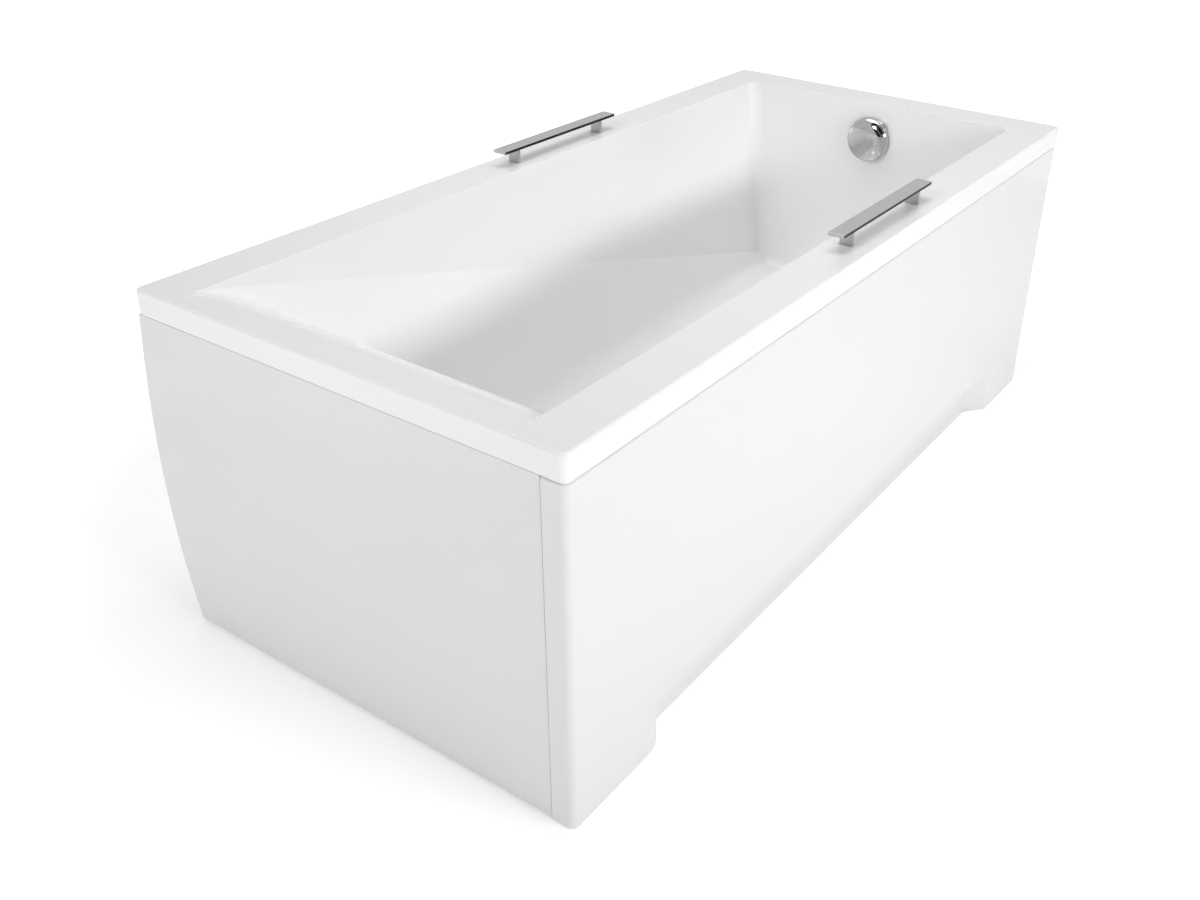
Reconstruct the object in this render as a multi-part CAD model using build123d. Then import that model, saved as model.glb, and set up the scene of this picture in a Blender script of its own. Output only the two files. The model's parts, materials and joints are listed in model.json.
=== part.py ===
from build123d import *
import os
from math import atan2, cos, hypot, radians, sin, sqrt, tan

# A sit-in bathtub: an acrylic basin with a backrest, a sheet apron with a toe recess, a sheet end
# panel, two grab handles, a knob that turns to lift the plug, and a frame with four screw feet.
# The bath stands on the floor at z = 0. Its head end, with the backrest, is at -X, its foot end,
# with the overflow, is at +X, the apron is at -Y and the wall side is at +Y.

# Whole bath
length = 1500.0
width = 700.0
rim_height = 535.0
wall = 5.0

# Clearances
seat_gap = 0.3
running_gap = 0.05
hole_gap = 0.5
panel_gap = 1.5

# Rim
skirt_depth = 35.0
rim_corner_radius = 9.0
rim_edge_radius = 4.0
mouth_radius = 3.0
side_rim = 72.0
foot_rim = 79.0
head_rim = 20.0

# Basin
floor_height = 155.0
floor_overlap = 17.0
side_draft = 0.15
foot_lean = radians(2.0)
foot_corner_radius = 22.0
roll_angle = radians(4.0)
roll_radius = 150.0
backrest_angle = radians(58.0)
lap_radius = 200.0
facet_head_inset = 8.0
facet_lap_inset = 73.55
facet_foot_inset = 8.55
facet_power = 0.8
facet_fillet = 100.0
facet_fillet_reach = 60.0
crease_softness = 0.03
loft_margin = 20.0
loft_reach = 15.0
bend_sections = 7

# Sheet panels
panel_sheet = 4.0
panel_floor_gap = 1.5
apron_depth = 34.0
apron_foot_inset = 5.0
apron_edge_radius = 3.5
apron_flange = 24.0
toe_leg = 175.0
toe_height = 97.0
toe_depth = 30.0
toe_slant = 40.0
toe_corner_radius = 15.0
leg_corner_radius = 12.0
end_inset = 1.0
end_bow = 14.0
end_floor_gap = 4.0
end_top_flange = 14.0
end_side_flange = 20.0

# Rim battens and panel clips
batten_depth = 20.0
head_batten_depth = 15.0
batten_height = 24.7
batten_setback = 10.0
clip_width = 25.0
clip_sheet = 2.0
clip_tab = 14.0
clip_height = 32.0
clip_spacing = 480.0
end_clip_spacing = 360.0
screw_radius = 2.0
screw_head_flats = 7.0
screw_head_height = 2.0
screw_length = 14.0

# Base board, leg bars and feet
board_length = 750.0
board_width = 200.0
board_thickness = 12.0
board_foot_gap = 59.0
bar_length = 530.0
bar_width = 40.0
bar_height = 25.0
bar_sheet = 2.0
bar_head_inset = 80.0
bar_foot_inset = 40.0
foot_spacing = 480.0
bar_screw_spacing = 140.0
rod_radius = 5.0
rod_top = 178.0
rod_seat = 6.0
nut_flats = 17.0
nut_height = 8.0
pad_flats = 46.0
pad_height = 16.0
pad_chamfer = 4.0

# Grab handles
handle_length = 300.0
handle_width = 26.0
handle_thickness = 5.0
handle_rise = 28.0
handle_shift = 58.0
handle_inset = 41.0
handle_edge = 0.6
post_spacing = 224.0
post_width = 20.0
post_thickness = 6.0
gasket_thickness = 1.0
gasket_margin = 1.5
stud_radius = 2.0
stud_length = 18.0
washer_radius = 10.0
washer_thickness = 1.5
stud_nut_flats = 7.0
stud_nut_height = 3.2

# Overflow and its knob
overflow_drop = 69.0
overflow_hole_radius = 26.0
sleeve_radius = 25.0
sleeve_bore = 21.0
bezel_radius = 33.0
bezel_thickness = 4.0
seal_thickness = 2.0
chamber_radius = 30.0
chamber_wall = 3.0
chamber_depth = 58.0
spindle_radius = 4.0
spindle_reach = 12.0
crank_radius = 12.0
crank_thickness = 4.0
knob_radius = 43.0
knob_standoff = 6.0
knob_side = 15.0
knob_dome = 7.0
knob_edge_radius = 7.0
knob_wall = 3.0
knob_boss_radius = 10.0
dome_steps = 2
edge_share = 0.8
lug_angle = 45.0
lug_width = 13.0
lug_reach = 4.0
lug_depth = 9.0

# Waste, plug and lift lever
waste_inset = 190.0
recess_radius = 37.0
recess_depth = 1.5
waste_hole_radius = 27.0
flange_radius = 36.0
flange_thickness = 2.0
cup_bore = 25.0
cup_wall = 3.0
cup_depth = 52.0
cup_flange_radius = 35.0
cup_flange_thickness = 4.0
waste_sleeve_wall = 3.0
waste_sleeve_drop = 19.0
spider_arm = 3.0
spider_height = 4.0
spider_boss = 7.0
outlet_radius = 20.0
outlet_wall = 3.0
outlet_drop = 36.0
plug_radius = 30.0
plug_thickness = 4.0
plug_crown = 2.0
plug_seal_thickness = 2.5
plug_seal_radius = 26.0
plug_lift = 10.0
stem_radius = 4.0
stem_drop = 33.5
stem_tip_radius = 1.5
lever_reach = 23.1
lever_half_turn = radians(12.5)
lever_tip_radius = 3.0
lever_width = 6.0
lever_tail = 13.0
lever_pin_radius = 2.0
lever_pin_cover = 1.0
housing_width = 26.0
housing_height = 30.0
housing_reach = 44.0
housing_wall = 3.0

# Hose, cable and trap
hose_radius = 16.0
hose_bore = 13.0
hose_root = 14.2
hose_bend = 65.0
hose_behind_wall = 36.0
hose_drop = 46.0
hose_plain_end = 32.0
rib_pitch = 16.0
waste_spigot_drop = 37.0
waste_spigot_length = 22.0
union_wall = 3.0
union_length = 20.0
cable_radius = 2.75
gland_radius = 4.5
gland_length = 12.0
cable_side = 25.0
cable_steps_down = [(0, 0, 0), (0, 0, -76), (4, 3, -158), (1, 7, -232)]
cable_steps_level = [(74, -1, 22), (32, 0, 0), (0, 0, 0)]
trap_radius = 45.0
trap_wall = 3.0
trap_height = 50.0
trap_chamfer = 8.0
collar_radius = 26.0
collar_height = 12.0
trap_outlet_length = 45.0
trap_outlet_drop = 25.0
trap_shoulder_wall = 4.0
trap_shoulder_length = 4.0
trap_nut_wall = 5.0
trap_nut_height = 14.0
trap_nut_lip = 5.0
trap_nut_gap = 1.0

# Places that follow from the sizes above
bow_out = end_bow - end_inset
head_x = bow_out - (length + bow_out) / 2
foot_x = head_x + length
front_y = -width / 2
wall_y = width / 2
rim_under = rim_height - wall
skirt_bottom = rim_height - skirt_depth
panel_top = skirt_bottom - panel_gap
open_half = width / 2 - side_rim
foot_mouth_x = foot_x - foot_rim
roll_start_x = head_x + head_rim
loft_start_x = roll_start_x - loft_reach
shell_under = floor_height - wall
board_top = shell_under - seat_gap
bar_top = board_top - board_thickness - seat_gap
waste_x = foot_x - waste_inset
middle_x = (head_x + foot_x) / 2
batten_top = rim_under - seat_gap
handle_x = middle_x + handle_shift
front_batten_face = front_y + wall + seat_gap + batten_depth
head_batten_face = head_x + wall + seat_gap + head_batten_depth

# A clip lies in its own frame: x = 0 is the inner face of its batten
clip_screw_axis = Plane((clip_sheet, 0, batten_top - batten_height / 2), z_dir=(-1, 0, 0))

# Centres of the two arcs in the profile of the backrest
roll_centre_x = roll_start_x - roll_radius * sin(roll_angle)
roll_centre_z = rim_height - roll_radius * cos(roll_angle)
back_top_x = roll_centre_x + roll_radius * sin(backrest_angle)
back_top_z = roll_centre_z + roll_radius * cos(backrest_angle)
back_low_z = floor_height + lap_radius * (1 - cos(backrest_angle))
back_low_x = back_top_x + (back_top_z - back_low_z) / tan(backrest_angle)
lap_centre_x = back_low_x + lap_radius * sin(backrest_angle)

# Board and leg bars under the level part of the floor, clear of the waste
board_foot_x = waste_x - cup_flange_radius - board_foot_gap
board_head_x = board_foot_x - board_length
leg_head_x = board_head_x + bar_head_inset
leg_foot_x = board_foot_x - bar_foot_inset

# Overflow axis, square to the leaning foot wall and pointing into the basin
overflow_z = rim_height - overflow_drop
overflow_x = foot_mouth_x - overflow_drop * tan(foot_lean)
overflow_plane = Plane(
    origin=(overflow_x, 0, overflow_z),
    x_dir=(0, -1, 0),
    z_dir=(-cos(foot_lean), 0, sin(foot_lean)),
)
hose_x = overflow_x + hose_behind_wall
hose_top_z = overflow_z - hose_drop
waste_spigot_z = floor_height - waste_spigot_drop
waste_spigot_x = waste_x + cup_bore + waste_spigot_length
knob_socket_end = knob_standoff + knob_side
cable_end_y = lever_reach + lever_tail

# Heights in the waste
cup_top = shell_under - seal_thickness
cup_bottom = cup_top - cup_depth
flange_top = floor_height - recess_depth + flange_thickness
sleeve_bottom = floor_height - waste_sleeve_drop
plug_bottom = flange_top + plug_seal_thickness
stem_bottom = plug_bottom - stem_drop
lever_z = stem_bottom - seat_gap - lever_tip_radius + lever_reach * sin(lever_half_turn)
outlet_bottom = cup_bottom - outlet_drop
trap_top = cup_bottom - trap_nut_height - trap_nut_lip


def block(x0, x1, y0, y1, z0, z1):
    """A box between two corners."""
    return Solid.make_box(x1 - x0, y1 - y0, z1 - z0, Plane((x0, y0, z0)))


def rod(plane, radius, start, end):
    """A round bar along the normal of a plane, between two distances from it."""
    return Solid.make_cylinder(radius, end - start, plane.offset(start))


def ring(plane, outer, inner, start, end):
    """A round bar with a bore along the normal of a plane."""
    return rod(plane, outer, start, end) - rod(plane, inner, start, end)


def upright(x, y):
    """A plane at floor height whose normal is the vertical line through (x, y)."""
    return Plane(origin=(x, y, 0))


def hex_bar(plane, flats, start, end):
    """A six-sided bar along the normal of a plane, between two distances from it."""
    return extrude(plane.offset(start) * RegularPolygon(flats / 2, 6, major_radius=False), end - start)


def hex_nut(plane, flats, bore, start, end):
    """A six-sided nut along the normal of a plane."""
    return hex_bar(plane, flats, start, end) - rod(plane, bore, start, end)


def bottom_line(x, offset=0.0):
    """Height of the basin's middle line at x, moved outward by offset."""
    roll = roll_radius - offset
    lap = lap_radius + offset
    roll_edge_x = roll_centre_x + roll * sin(roll_angle)
    if x <= roll_edge_x:
        return roll_centre_z + roll * cos(roll_angle) + tan(roll_angle) * (roll_edge_x - x)
    if x <= roll_centre_x + roll * sin(backrest_angle):
        return roll_centre_z + sqrt(roll**2 - (x - roll_centre_x) ** 2)
    if x <= lap_centre_x - lap * sin(backrest_angle):
        run = x - roll_centre_x - roll * sin(backrest_angle)
        return roll_centre_z + roll * cos(backrest_angle) - tan(backrest_angle) * run
    if x <= lap_centre_x:
        return floor_height + lap_radius - sqrt(lap**2 - (lap_centre_x - x) ** 2)
    return floor_height - offset


def side_line(z, offset=0.0):
    """Half width of the basin between its upper side walls at height z."""
    return open_half - (rim_height - z) * side_draft + offset * hypot(1, side_draft)


def crease_height(x):
    """Height of the crease where the side wall meets the lower facet."""
    share = (x - loft_start_x) / (foot_mouth_x - loft_start_x)
    soft = hypot(share, crease_softness) - crease_softness
    fall = soft / (hypot(1, crease_softness) - crease_softness)
    top = rim_height + mouth_radius
    return top - (top - floor_height - floor_overlap) * fall


def facet_foot(x):
    """Half width at which the lower facet meets the middle line's height."""
    low_side = side_line(floor_height + floor_overlap)
    lap_half_width = low_side - facet_lap_inset
    if x >= lap_centre_x:
        share = (x - lap_centre_x) / (foot_mouth_x - lap_centre_x)
        return lap_half_width + (facet_lap_inset - facet_foot_inset) * share
    share = (bottom_line(x) - floor_height) / (rim_height - floor_height)
    head_half_width = open_half - facet_head_inset
    return lap_half_width + (head_half_width - lap_half_width) * share**facet_power


def basin_section(x, offset):
    """Closed section of the basin at x: side walls, lower facets, fillets and bottom."""
    crease = (side_line(crease_height(x)), crease_height(x))
    foot = (facet_foot(x), bottom_line(x))
    slant = hypot(crease[0] - foot[0], crease[1] - foot[1])
    along = ((foot[0] - crease[0]) / slant, (foot[1] - crease[1]) / slant)
    moved = (crease[0] - along[1] * offset, crease[1] + along[0] * offset)
    reach = (side_line(moved[1], offset) - moved[0]) / (along[0] - side_draft * along[1])
    crease = (moved[0] + reach * along[0], moved[1] + reach * along[1])
    low = bottom_line(x, offset)
    reach = (low - crease[1]) / along[1]
    foot = (crease[0] + reach * along[0], low)
    radius = facet_fillet * slant / (slant + facet_fillet_reach) + offset
    turn = atan2(-along[1], -along[0])
    tangent = radius * tan(turn / 2)
    arc_start = (foot[0] - along[0] * tangent, foot[1] - along[1] * tangent)
    arc_end = (foot[0] - tangent, low)
    arc_middle = (arc_end[0] + radius * sin(turn / 2), low + radius * (1 - cos(turn / 2)))
    top = (side_line(rim_height + loft_margin, offset), rim_height + loft_margin)

    def point(place, side):
        return (x, side * place[0], place[1])

    edges = [Edge.make_line(point(top, -1), point(top, 1))]
    edges += [Edge.make_line(point(arc_end, 1), point(arc_end, -1))]
    for side in (1, -1):
        edges += [Edge.make_line(point(top, side), point(crease, side))]
        edges += [Edge.make_line(point(crease, side), point(arc_start, side))]
        middle = point(arc_middle, side)
        edges += [Edge.make_three_point_arc(point(arc_start, side), middle, point(arc_end, side))]
    return Wire.combine(edges)[0]


def basin_stations():
    """Places along X of the sections: close together round the two bends, ends of the straights."""
    bends = [(roll_centre_x, roll_radius, roll_angle, backrest_angle)]
    bends += [(lap_centre_x, lap_radius, -backrest_angle, 0.0)]
    stations = [loft_start_x]
    for centre, radius, start, end in bends:
        for i in range(bend_sections + 1):
            stations += [centre + radius * sin(start + (end - start) * i / bend_sections)]
    return stations + [(lap_centre_x + foot_mouth_x) / 2, foot_mouth_x + loft_reach]


def basin_body(offset):
    """The solid space of the basin, closed by the leaning foot wall."""
    body = Solid.make_loft([basin_section(x, offset) for x in basin_stations()], True)
    wall_x = foot_mouth_x + offset / cos(foot_lean)
    cut = Plane((wall_x, 0, rim_height), x_dir=(0, 1, 0), z_dir=(cos(foot_lean), 0, -sin(foot_lean)))
    body -= extrude(cut * Rectangle(2 * width, 2 * width), length)
    corner = foot_corner_radius if offset == 0 else wall
    foot_faces = body.faces().sort_by(Axis.X)[-1]
    edges = [edge for edge in foot_faces.edges() if edge.center().Z < rim_height + loft_margin / 2]
    return fillet(edges, corner)


def bath_shell():
    """The acrylic moulding: rim, skirt, basin and the holes in it."""
    rim = block(head_x, foot_x, front_y, wall_y, skirt_bottom, rim_height)
    rim = fillet(rim.edges().filter_by(Axis.Z), rim_corner_radius)
    rim = fillet(rim.edges().group_by(Axis.Z)[-1], rim_edge_radius)
    hollow = block(head_x + wall, foot_x - wall, front_y + wall, wall_y - wall, 0, rim_under)
    rim -= fillet(hollow.edges().filter_by(Axis.Z), rim_corner_radius - wall)
    outer = basin_body(wall) & block(head_x, foot_x, front_y, wall_y, 0, rim_height - wall / 2)
    shell = rim + outer - basin_body(0)
    waste = upright(waste_x, 0)
    shell -= rod(waste, recess_radius, floor_height - recess_depth, floor_height + wall)
    shell -= rod(waste, waste_hole_radius, 0, floor_height)
    shell -= rod(overflow_plane, overflow_hole_radius, -2 * wall, 2 * wall)
    for x, y in stud_places():
        shell -= rod(upright(x, y), stud_radius + hole_gap, rim_under - wall, rim_height + wall)
    return shell


def stud_places():
    """The four places where a handle post meets the rim."""
    places = []
    for side in (-1, 1):
        for end in (-1, 1):
            places += [(handle_x + end * post_spacing / 2, side * (width / 2 - handle_inset))]
    return places


def long_batten(side):
    """The batten under one long rim."""
    outer = width / 2 - wall - seat_gap
    y0, y1 = sorted((side * outer, side * (outer - batten_depth)))
    x0 = head_x + wall + batten_setback
    x1 = foot_x - wall - batten_setback
    return pilot_drilled(block(x0, x1, y0, y1, batten_top - batten_height, batten_top))


def end_batten(x0, x1):
    """The batten under the rim at one end, between the long battens."""
    half = width / 2 - wall - 2 * seat_gap - batten_depth
    return pilot_drilled(block(x0, x1, -half, half, batten_top - batten_height, batten_top))


def pilot_drilled(batten):
    """A batten with a hole for each clip screw that enters it."""
    for place in clip_places():
        hole = rod(clip_screw_axis, screw_radius + running_gap, -wall, screw_length + seat_gap)
        hole = hole.moved(place)
        if (batten & hole) is not None:
            batten -= hole
    return batten


def toe_outline(y, slant, grow):
    """Outline of the toe recess at depth y, drawn in at its ends by slant and grown by grow."""
    x0 = head_x + toe_leg + slant
    x1 = foot_x - apron_foot_inset - toe_leg - slant
    low = panel_floor_gap
    top = toe_height + grow
    foot = leg_corner_radius
    round_foot = foot - grow
    corner = toe_corner_radius + grow
    diagonal = 1 - sqrt(0.5)
    edges = [Edge.make_line((x0 - foot, y, low - foot), (x1 + foot, y, low - foot))]
    edges += [Edge.make_line((x0 - grow + corner, y, top), (x1 + grow - corner, y, top))]
    for x, way in ((x0, 1), (x1, -1)):
        toe = (x - way * foot, y, low + foot - round_foot)
        side_low = (x - way * grow, y, low + foot)
        side_top = (x - way * grow, y, top - corner)
        middle = (x - way * (foot - round_foot * sqrt(0.5)), y, low + foot - round_foot * sqrt(0.5))
        edges += [Edge.make_line((x - way * foot, y, low - foot), toe)]
        edges += [Edge.make_three_point_arc(toe, middle, side_low)]
        edges += [Edge.make_line(side_low, side_top)]
        end = (x - way * grow + way * corner, y, top)
        middle = (x - way * grow + way * corner * diagonal, y, top - corner * diagonal)
        edges += [Edge.make_three_point_arc(side_top, middle, end)]
    return Wire.combine(edges)[0]


def front_apron():
    """The long sheet apron, with its returns, top flange and pressed toe recess."""
    x0 = head_x
    x1 = foot_x - apron_foot_inset
    back = front_y + apron_depth
    low = panel_floor_gap
    sheet = block(x0, x1, front_y, back, low, panel_top)
    front_edges = sheet.edges().filter_by(Axis.Z).group_by(Axis.Y)[0]
    sheet = fillet(front_edges, rim_corner_radius)
    sheet = fillet(sheet.edges().group_by(Axis.Z)[-1].sort_by(Axis.Y)[:-1], apron_edge_radius)
    inner = block(x0 + panel_sheet, x1 - panel_sheet, front_y + panel_sheet, back + wall, 0,
                  panel_top - panel_sheet)
    inner_edges = inner.edges().filter_by(Axis.Z).group_by(Axis.Y)[0]
    sheet -= fillet(inner_edges, rim_corner_radius - panel_sheet)
    inside = (x0 + panel_sheet, x1 - panel_sheet)
    sheet -= block(*inside, front_y + apron_flange, back + wall, 0, rim_height)
    recess_back = front_y + toe_depth
    tray_fronts = [toe_outline(front_y, 0, panel_sheet), toe_outline(back, toe_slant, panel_sheet)]
    tray = Solid.make_loft(tray_fronts, True) & block(x0, x1, front_y, back, low, rim_height)
    slope = toe_slant / toe_depth
    fronts = [toe_outline(front_y - wall, -wall * slope, 0), toe_outline(recess_back, toe_slant, 0)]
    return sheet + tray - Solid.make_loft(fronts, True)


def end_panel():
    """The end panel, straight at its seam and bowed at its free edge by the wall."""
    face_x = head_x + end_inset
    near_y = front_y + apron_depth + panel_gap
    low = end_floor_gap
    middle_z = (low + panel_top) / 2
    sections = []
    for y, bow in ((near_y, 0), (wall_y, end_bow)):
        faces = []
        for x in (face_x, face_x + panel_sheet):
            start, end = (x, y, low), (x, y, panel_top)
            if bow:
                faces += [Edge.make_three_point_arc(start, (x - bow, y, middle_z), end)]
            else:
                faces += [Edge.make_line(start, end)]
        caps = [Edge.make_line((face_x, y, z), (face_x + panel_sheet, y, z)) for z in (low, panel_top)]
        sections += [Wire.combine(faces + caps)[0]]
    panel = Solid.make_loft(sections, True)
    inner_x = face_x + panel_sheet
    flange_x = inner_x + end_top_flange
    top_flange = block(face_x, flange_x, near_y, wall_y, panel_top - panel_sheet, panel_top)
    side_flange = block(face_x, inner_x + end_side_flange, near_y, near_y + panel_sheet, low, panel_top)
    return panel + top_flange + side_flange


def clip_places():
    """Where the clips of the apron and of the end panel lie."""
    clips_x = [middle_x + i * clip_spacing for i in (-1, 0, 1)]
    places = [Location((x, front_batten_face, 0), (0, 0, 90)) for x in clips_x]
    return places + [Location((head_batten_face, i * end_clip_spacing / 2, 0)) for i in (-1, 1)]


def clip():
    """A bent clip: a tab under a panel's top flange and a leg up the inside of a batten."""
    tab_top = panel_top - panel_sheet - seat_gap
    low = tab_top - clip_sheet
    half = clip_width / 2
    tab = block(-clip_tab, clip_sheet, -half, half, low, tab_top)
    leg = block(0, clip_sheet, -half, half, low, low + clip_height)
    return tab + leg - rod(clip_screw_axis, screw_radius + running_gap, -wall, wall)


def clip_screw():
    """The screw that holds a clip to its batten."""
    shank = rod(clip_screw_axis, screw_radius, 0, screw_length)
    return shank + hex_bar(clip_screw_axis, screw_head_flats, -screw_head_height, 0)


def base_board():
    """The board bonded under the floor of the basin, drilled for its screws."""
    half = board_width / 2
    board = block(board_head_x, board_foot_x, -half, half, board_top - board_thickness, board_top)
    for x, y in bar_screw_places():
        board -= rod(upright(x, y), screw_radius + running_gap, 0, bar_top + board_thickness - wall / 2)
    return board


def bar_screw_places():
    """Two screws from each leg bar into the board."""
    return [(x, i * bar_screw_spacing / 2) for x in (leg_head_x, leg_foot_x) for i in (-1, 1)]


def foot_places():
    """The four feet, by name."""
    ends = {"head": leg_head_x, "foot": leg_foot_x}
    sides = {"front": -foot_spacing / 2, "back": foot_spacing / 2}
    return {f"{end}_{side}": (x, y) for end, x in ends.items() for side, y in sides.items()}


def leg_bar(x):
    """A channel across the underside, open downward, that carries two feet."""
    half = bar_width / 2
    reach = bar_length / 2
    bar = block(x - half, x + half, -reach, reach, bar_top - bar_height, bar_top)
    inner = half - bar_sheet
    channel = block(x - inner, x + inner, -reach, reach, 0, bar_top - bar_sheet)
    bar -= channel
    for y in (-foot_spacing / 2, foot_spacing / 2):
        bar -= rod(upright(x, y), rod_radius + hole_gap, 0, rim_height)
    for y in (-bar_screw_spacing / 2, bar_screw_spacing / 2):
        bar -= rod(upright(x, y), screw_radius + hole_gap, 0, rim_height)
    return bar


def bar_screw(x, y):
    """A screw through the web of a leg bar into the board."""
    head_top = bar_top - bar_sheet
    axis = upright(x, y)
    shank = rod(axis, screw_radius, head_top, bar_top + board_thickness - wall)
    return shank + hex_bar(axis, screw_head_flats, head_top - screw_head_height, head_top)


def foot_nuts():
    """A nut above and below the web of the bar on each foot."""
    nuts = []
    for x, y in foot_places().values():
        bore = rod_radius + running_gap
        nuts += [hex_nut(upright(x, y), nut_flats, bore, bar_top, bar_top + nut_height)]
        low = bar_top - bar_sheet
        nuts += [hex_nut(upright(x, y), nut_flats, bore, low - nut_height, low)]
    return nuts


def foot_rod(x, y):
    """The screwed rod of a foot, standing in its pad."""
    return rod(upright(x, y), rod_radius, rod_seat, rod_top)


def foot_pad(x, y):
    """The six-sided pad of a foot, with a socket for the rod."""
    pad = hex_bar(upright(x, y), pad_flats, 0, pad_height)
    pad = chamfer(pad.edges().group_by(Axis.Z)[-1], pad_chamfer)
    return pad - rod(upright(x, y), rod_radius + running_gap, rod_seat, rod_top)


def handle_bar(side):
    """The flat bar of a grab handle."""
    y = side * (width / 2 - handle_inset)
    top = rim_height + handle_rise
    half, reach = handle_width / 2, handle_length / 2
    low = top - handle_thickness
    bar = block(handle_x - reach, handle_x + reach, y - half, y + half, low, top)
    return chamfer(bar.edges(), handle_edge)


def side_places(side):
    """The two post places of the handle on one side."""
    return [(x, y) for x, y in stud_places() if y * side > 0]


def handle_post(x, y):
    """A post of a grab handle, with the stud that goes through the rim."""
    low = rim_height + gasket_thickness
    top = rim_height + handle_rise - handle_thickness
    post = centred_block(x, y, post_thickness, post_width, low, top)
    return post + rod(upright(x, y), stud_radius, rim_under - stud_length, low)


def centred_block(x, y, along, across, low, high):
    """A box centred on (x, y) between two heights."""
    return block(x - along / 2, x + along / 2, y - across / 2, y + across / 2, low, high)


def handle_gasket(x, y):
    """The flat seal under a post."""
    along = post_thickness + 2 * gasket_margin
    across = post_width + 2 * gasket_margin
    seal = centred_block(x, y, along, across, rim_height, rim_height + gasket_thickness)
    return seal - rod(upright(x, y), stud_radius + running_gap, 0, 2 * rim_height)


def handle_washer(x, y):
    """The washer under the rim on a post's stud."""
    low = rim_under - washer_thickness
    return ring(upright(x, y), washer_radius, stud_radius + running_gap, low, rim_under)


def handle_nut(x, y):
    """The nut under that washer."""
    top = rim_under - washer_thickness
    bore = stud_radius + running_gap
    return hex_nut(upright(x, y), stud_nut_flats, bore, top - stud_nut_height, top)


def overflow_body():
    """The housing behind the foot wall: flange, sleeve, chamber, outlet and cable gland."""
    axis = overflow_plane
    back = -wall - seal_thickness
    end = back - chamber_depth
    body = rod(axis, bezel_radius, back - bezel_thickness, back)
    body += rod(axis, chamber_radius, end, back)
    body += rod(axis, sleeve_radius, back, bezel_thickness / 2)
    outlet = upright(hose_x, 0)
    body += rod(outlet, hose_radius, hose_top_z, overflow_z)
    gland = upright(hose_x, cable_side)
    body += rod(gland, gland_radius, hose_top_z, overflow_z)
    body -= rod(axis, chamber_radius - chamber_wall, end + chamber_wall, back - bezel_thickness)
    body -= rod(axis, sleeve_bore, end + chamber_wall, bezel_thickness)
    body -= rod(outlet, hose_bore, hose_top_z, overflow_z)
    body -= rod(gland, cable_radius / 2, hose_top_z, overflow_z)
    body += rod(axis, 2 * spindle_radius, end, end + spindle_reach)
    return body - rod(axis, spindle_radius + running_gap, end + chamber_wall / 2, end + chamber_depth)


def overflow_seal():
    """The rubber ring between the wall and the housing's flange."""
    return ring(overflow_plane, bezel_radius, sleeve_radius + seat_gap, -wall - seal_thickness, -wall)


def overflow_bezel():
    """The fixed ring on the basin side, round the mouth of the sleeve."""
    base = ring(overflow_plane, bezel_radius, sleeve_radius + seat_gap, 0, bezel_thickness / 2)
    top = Solid.make_cone(bezel_radius, bezel_radius - bezel_thickness / 2, bezel_thickness / 2,
                          overflow_plane.offset(bezel_thickness / 2))
    return base + top - rod(overflow_plane, sleeve_radius + seat_gap, 0, 2 * bezel_thickness)


def overflow_spindle():
    """The spindle that the knob turns, with the crank disc that pulls the cable."""
    end = -wall - seal_thickness - chamber_depth
    crank = end + spindle_reach + seat_gap
    spindle = rod(overflow_plane, spindle_radius, end + chamber_wall / 2 + seat_gap, knob_socket_end)
    return spindle + rod(overflow_plane, crank_radius, crank, crank + crank_thickness)


def dome_profile(radius, side, crown, edge):
    """Corners of a shallow dome from its side to its top: a rounded edge, then a crown."""
    corners = []
    for i in range(dome_steps + 1):
        angle = radians(90 * i / dome_steps) * edge_share
        corners += [(radius - edge * (1 - cos(angle)), side + edge * sin(angle))]
    inner, low = corners[-1]
    for i in range(1, dome_steps + 1):
        share = i / dome_steps
        corners += [(inner * (1 - share), low + (side + crown - low) * (1 - (1 - share) ** 2))]
    return corners


def turned(profile):
    """A solid turned about Z from (radius, height) corners."""
    corners = [(radius, 0, height) for radius, height in profile]
    return revolve(make_face(Polyline(*corners, close=True)), Axis.Z)


def overflow_knob():
    """The knob: a hollow dome with a boss on the spindle and a grip lug on its edge."""
    low = knob_standoff
    side = low + knob_side - knob_edge_radius / 2
    crown = knob_dome + knob_edge_radius / 2
    profile = [(0, low), (knob_radius, low)] + dome_profile(knob_radius, side, crown, knob_edge_radius)
    dome = turned(profile)
    half = lug_width / 2
    lug = block(knob_radius - lug_width, knob_radius + lug_reach, -half, half, low, low + lug_depth)
    dome += Rot(0, 0, lug_angle) * chamfer(lug.edges().filter_by(Axis.Z).group_by(Axis.X)[-1], lug_reach)
    dome -= Solid.make_cylinder(knob_radius - knob_wall, knob_side - knob_wall, Plane((0, 0, low)))
    dome += Solid.make_cylinder(knob_boss_radius, knob_side, Plane((0, 0, low)))
    dome -= Solid.make_cylinder(spindle_radius + running_gap, knob_side + seat_gap, Plane((0, 0, low)))
    return overflow_plane.location * dome


def waste_seal():
    """The rubber ring between the floor of the basin and the waste body."""
    return ring(upright(waste_x, 0), cup_flange_radius, waste_hole_radius, cup_top, shell_under)


def waste_flange():
    """The metal ring in the floor, with its sleeve and the spider that guides the plug."""
    axis = upright(waste_x, 0)
    sleeve = cup_bore - 2 * running_gap
    bore = sleeve - waste_sleeve_wall
    flange = Solid.make_cone(flange_radius, flange_radius - flange_thickness / 2, flange_thickness,
                             axis.offset(flange_top - flange_thickness))
    flange += rod(axis, sleeve, sleeve_bottom, flange_top - flange_thickness)
    flange -= rod(axis, bore, 0, rim_height)
    spider = rod(axis, spider_boss, sleeve_bottom, sleeve_bottom + 2 * spider_height)
    for turn in (0, 90):
        arm = centred_block(0, 0, 2 * bore + waste_sleeve_wall, spider_arm, sleeve_bottom,
                            sleeve_bottom + spider_height)
        spider += Pos(waste_x, 0, 0) * Rot(0, 0, turn) * arm
    return flange + spider - rod(axis, stem_radius + running_gap, 0, rim_height)


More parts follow.
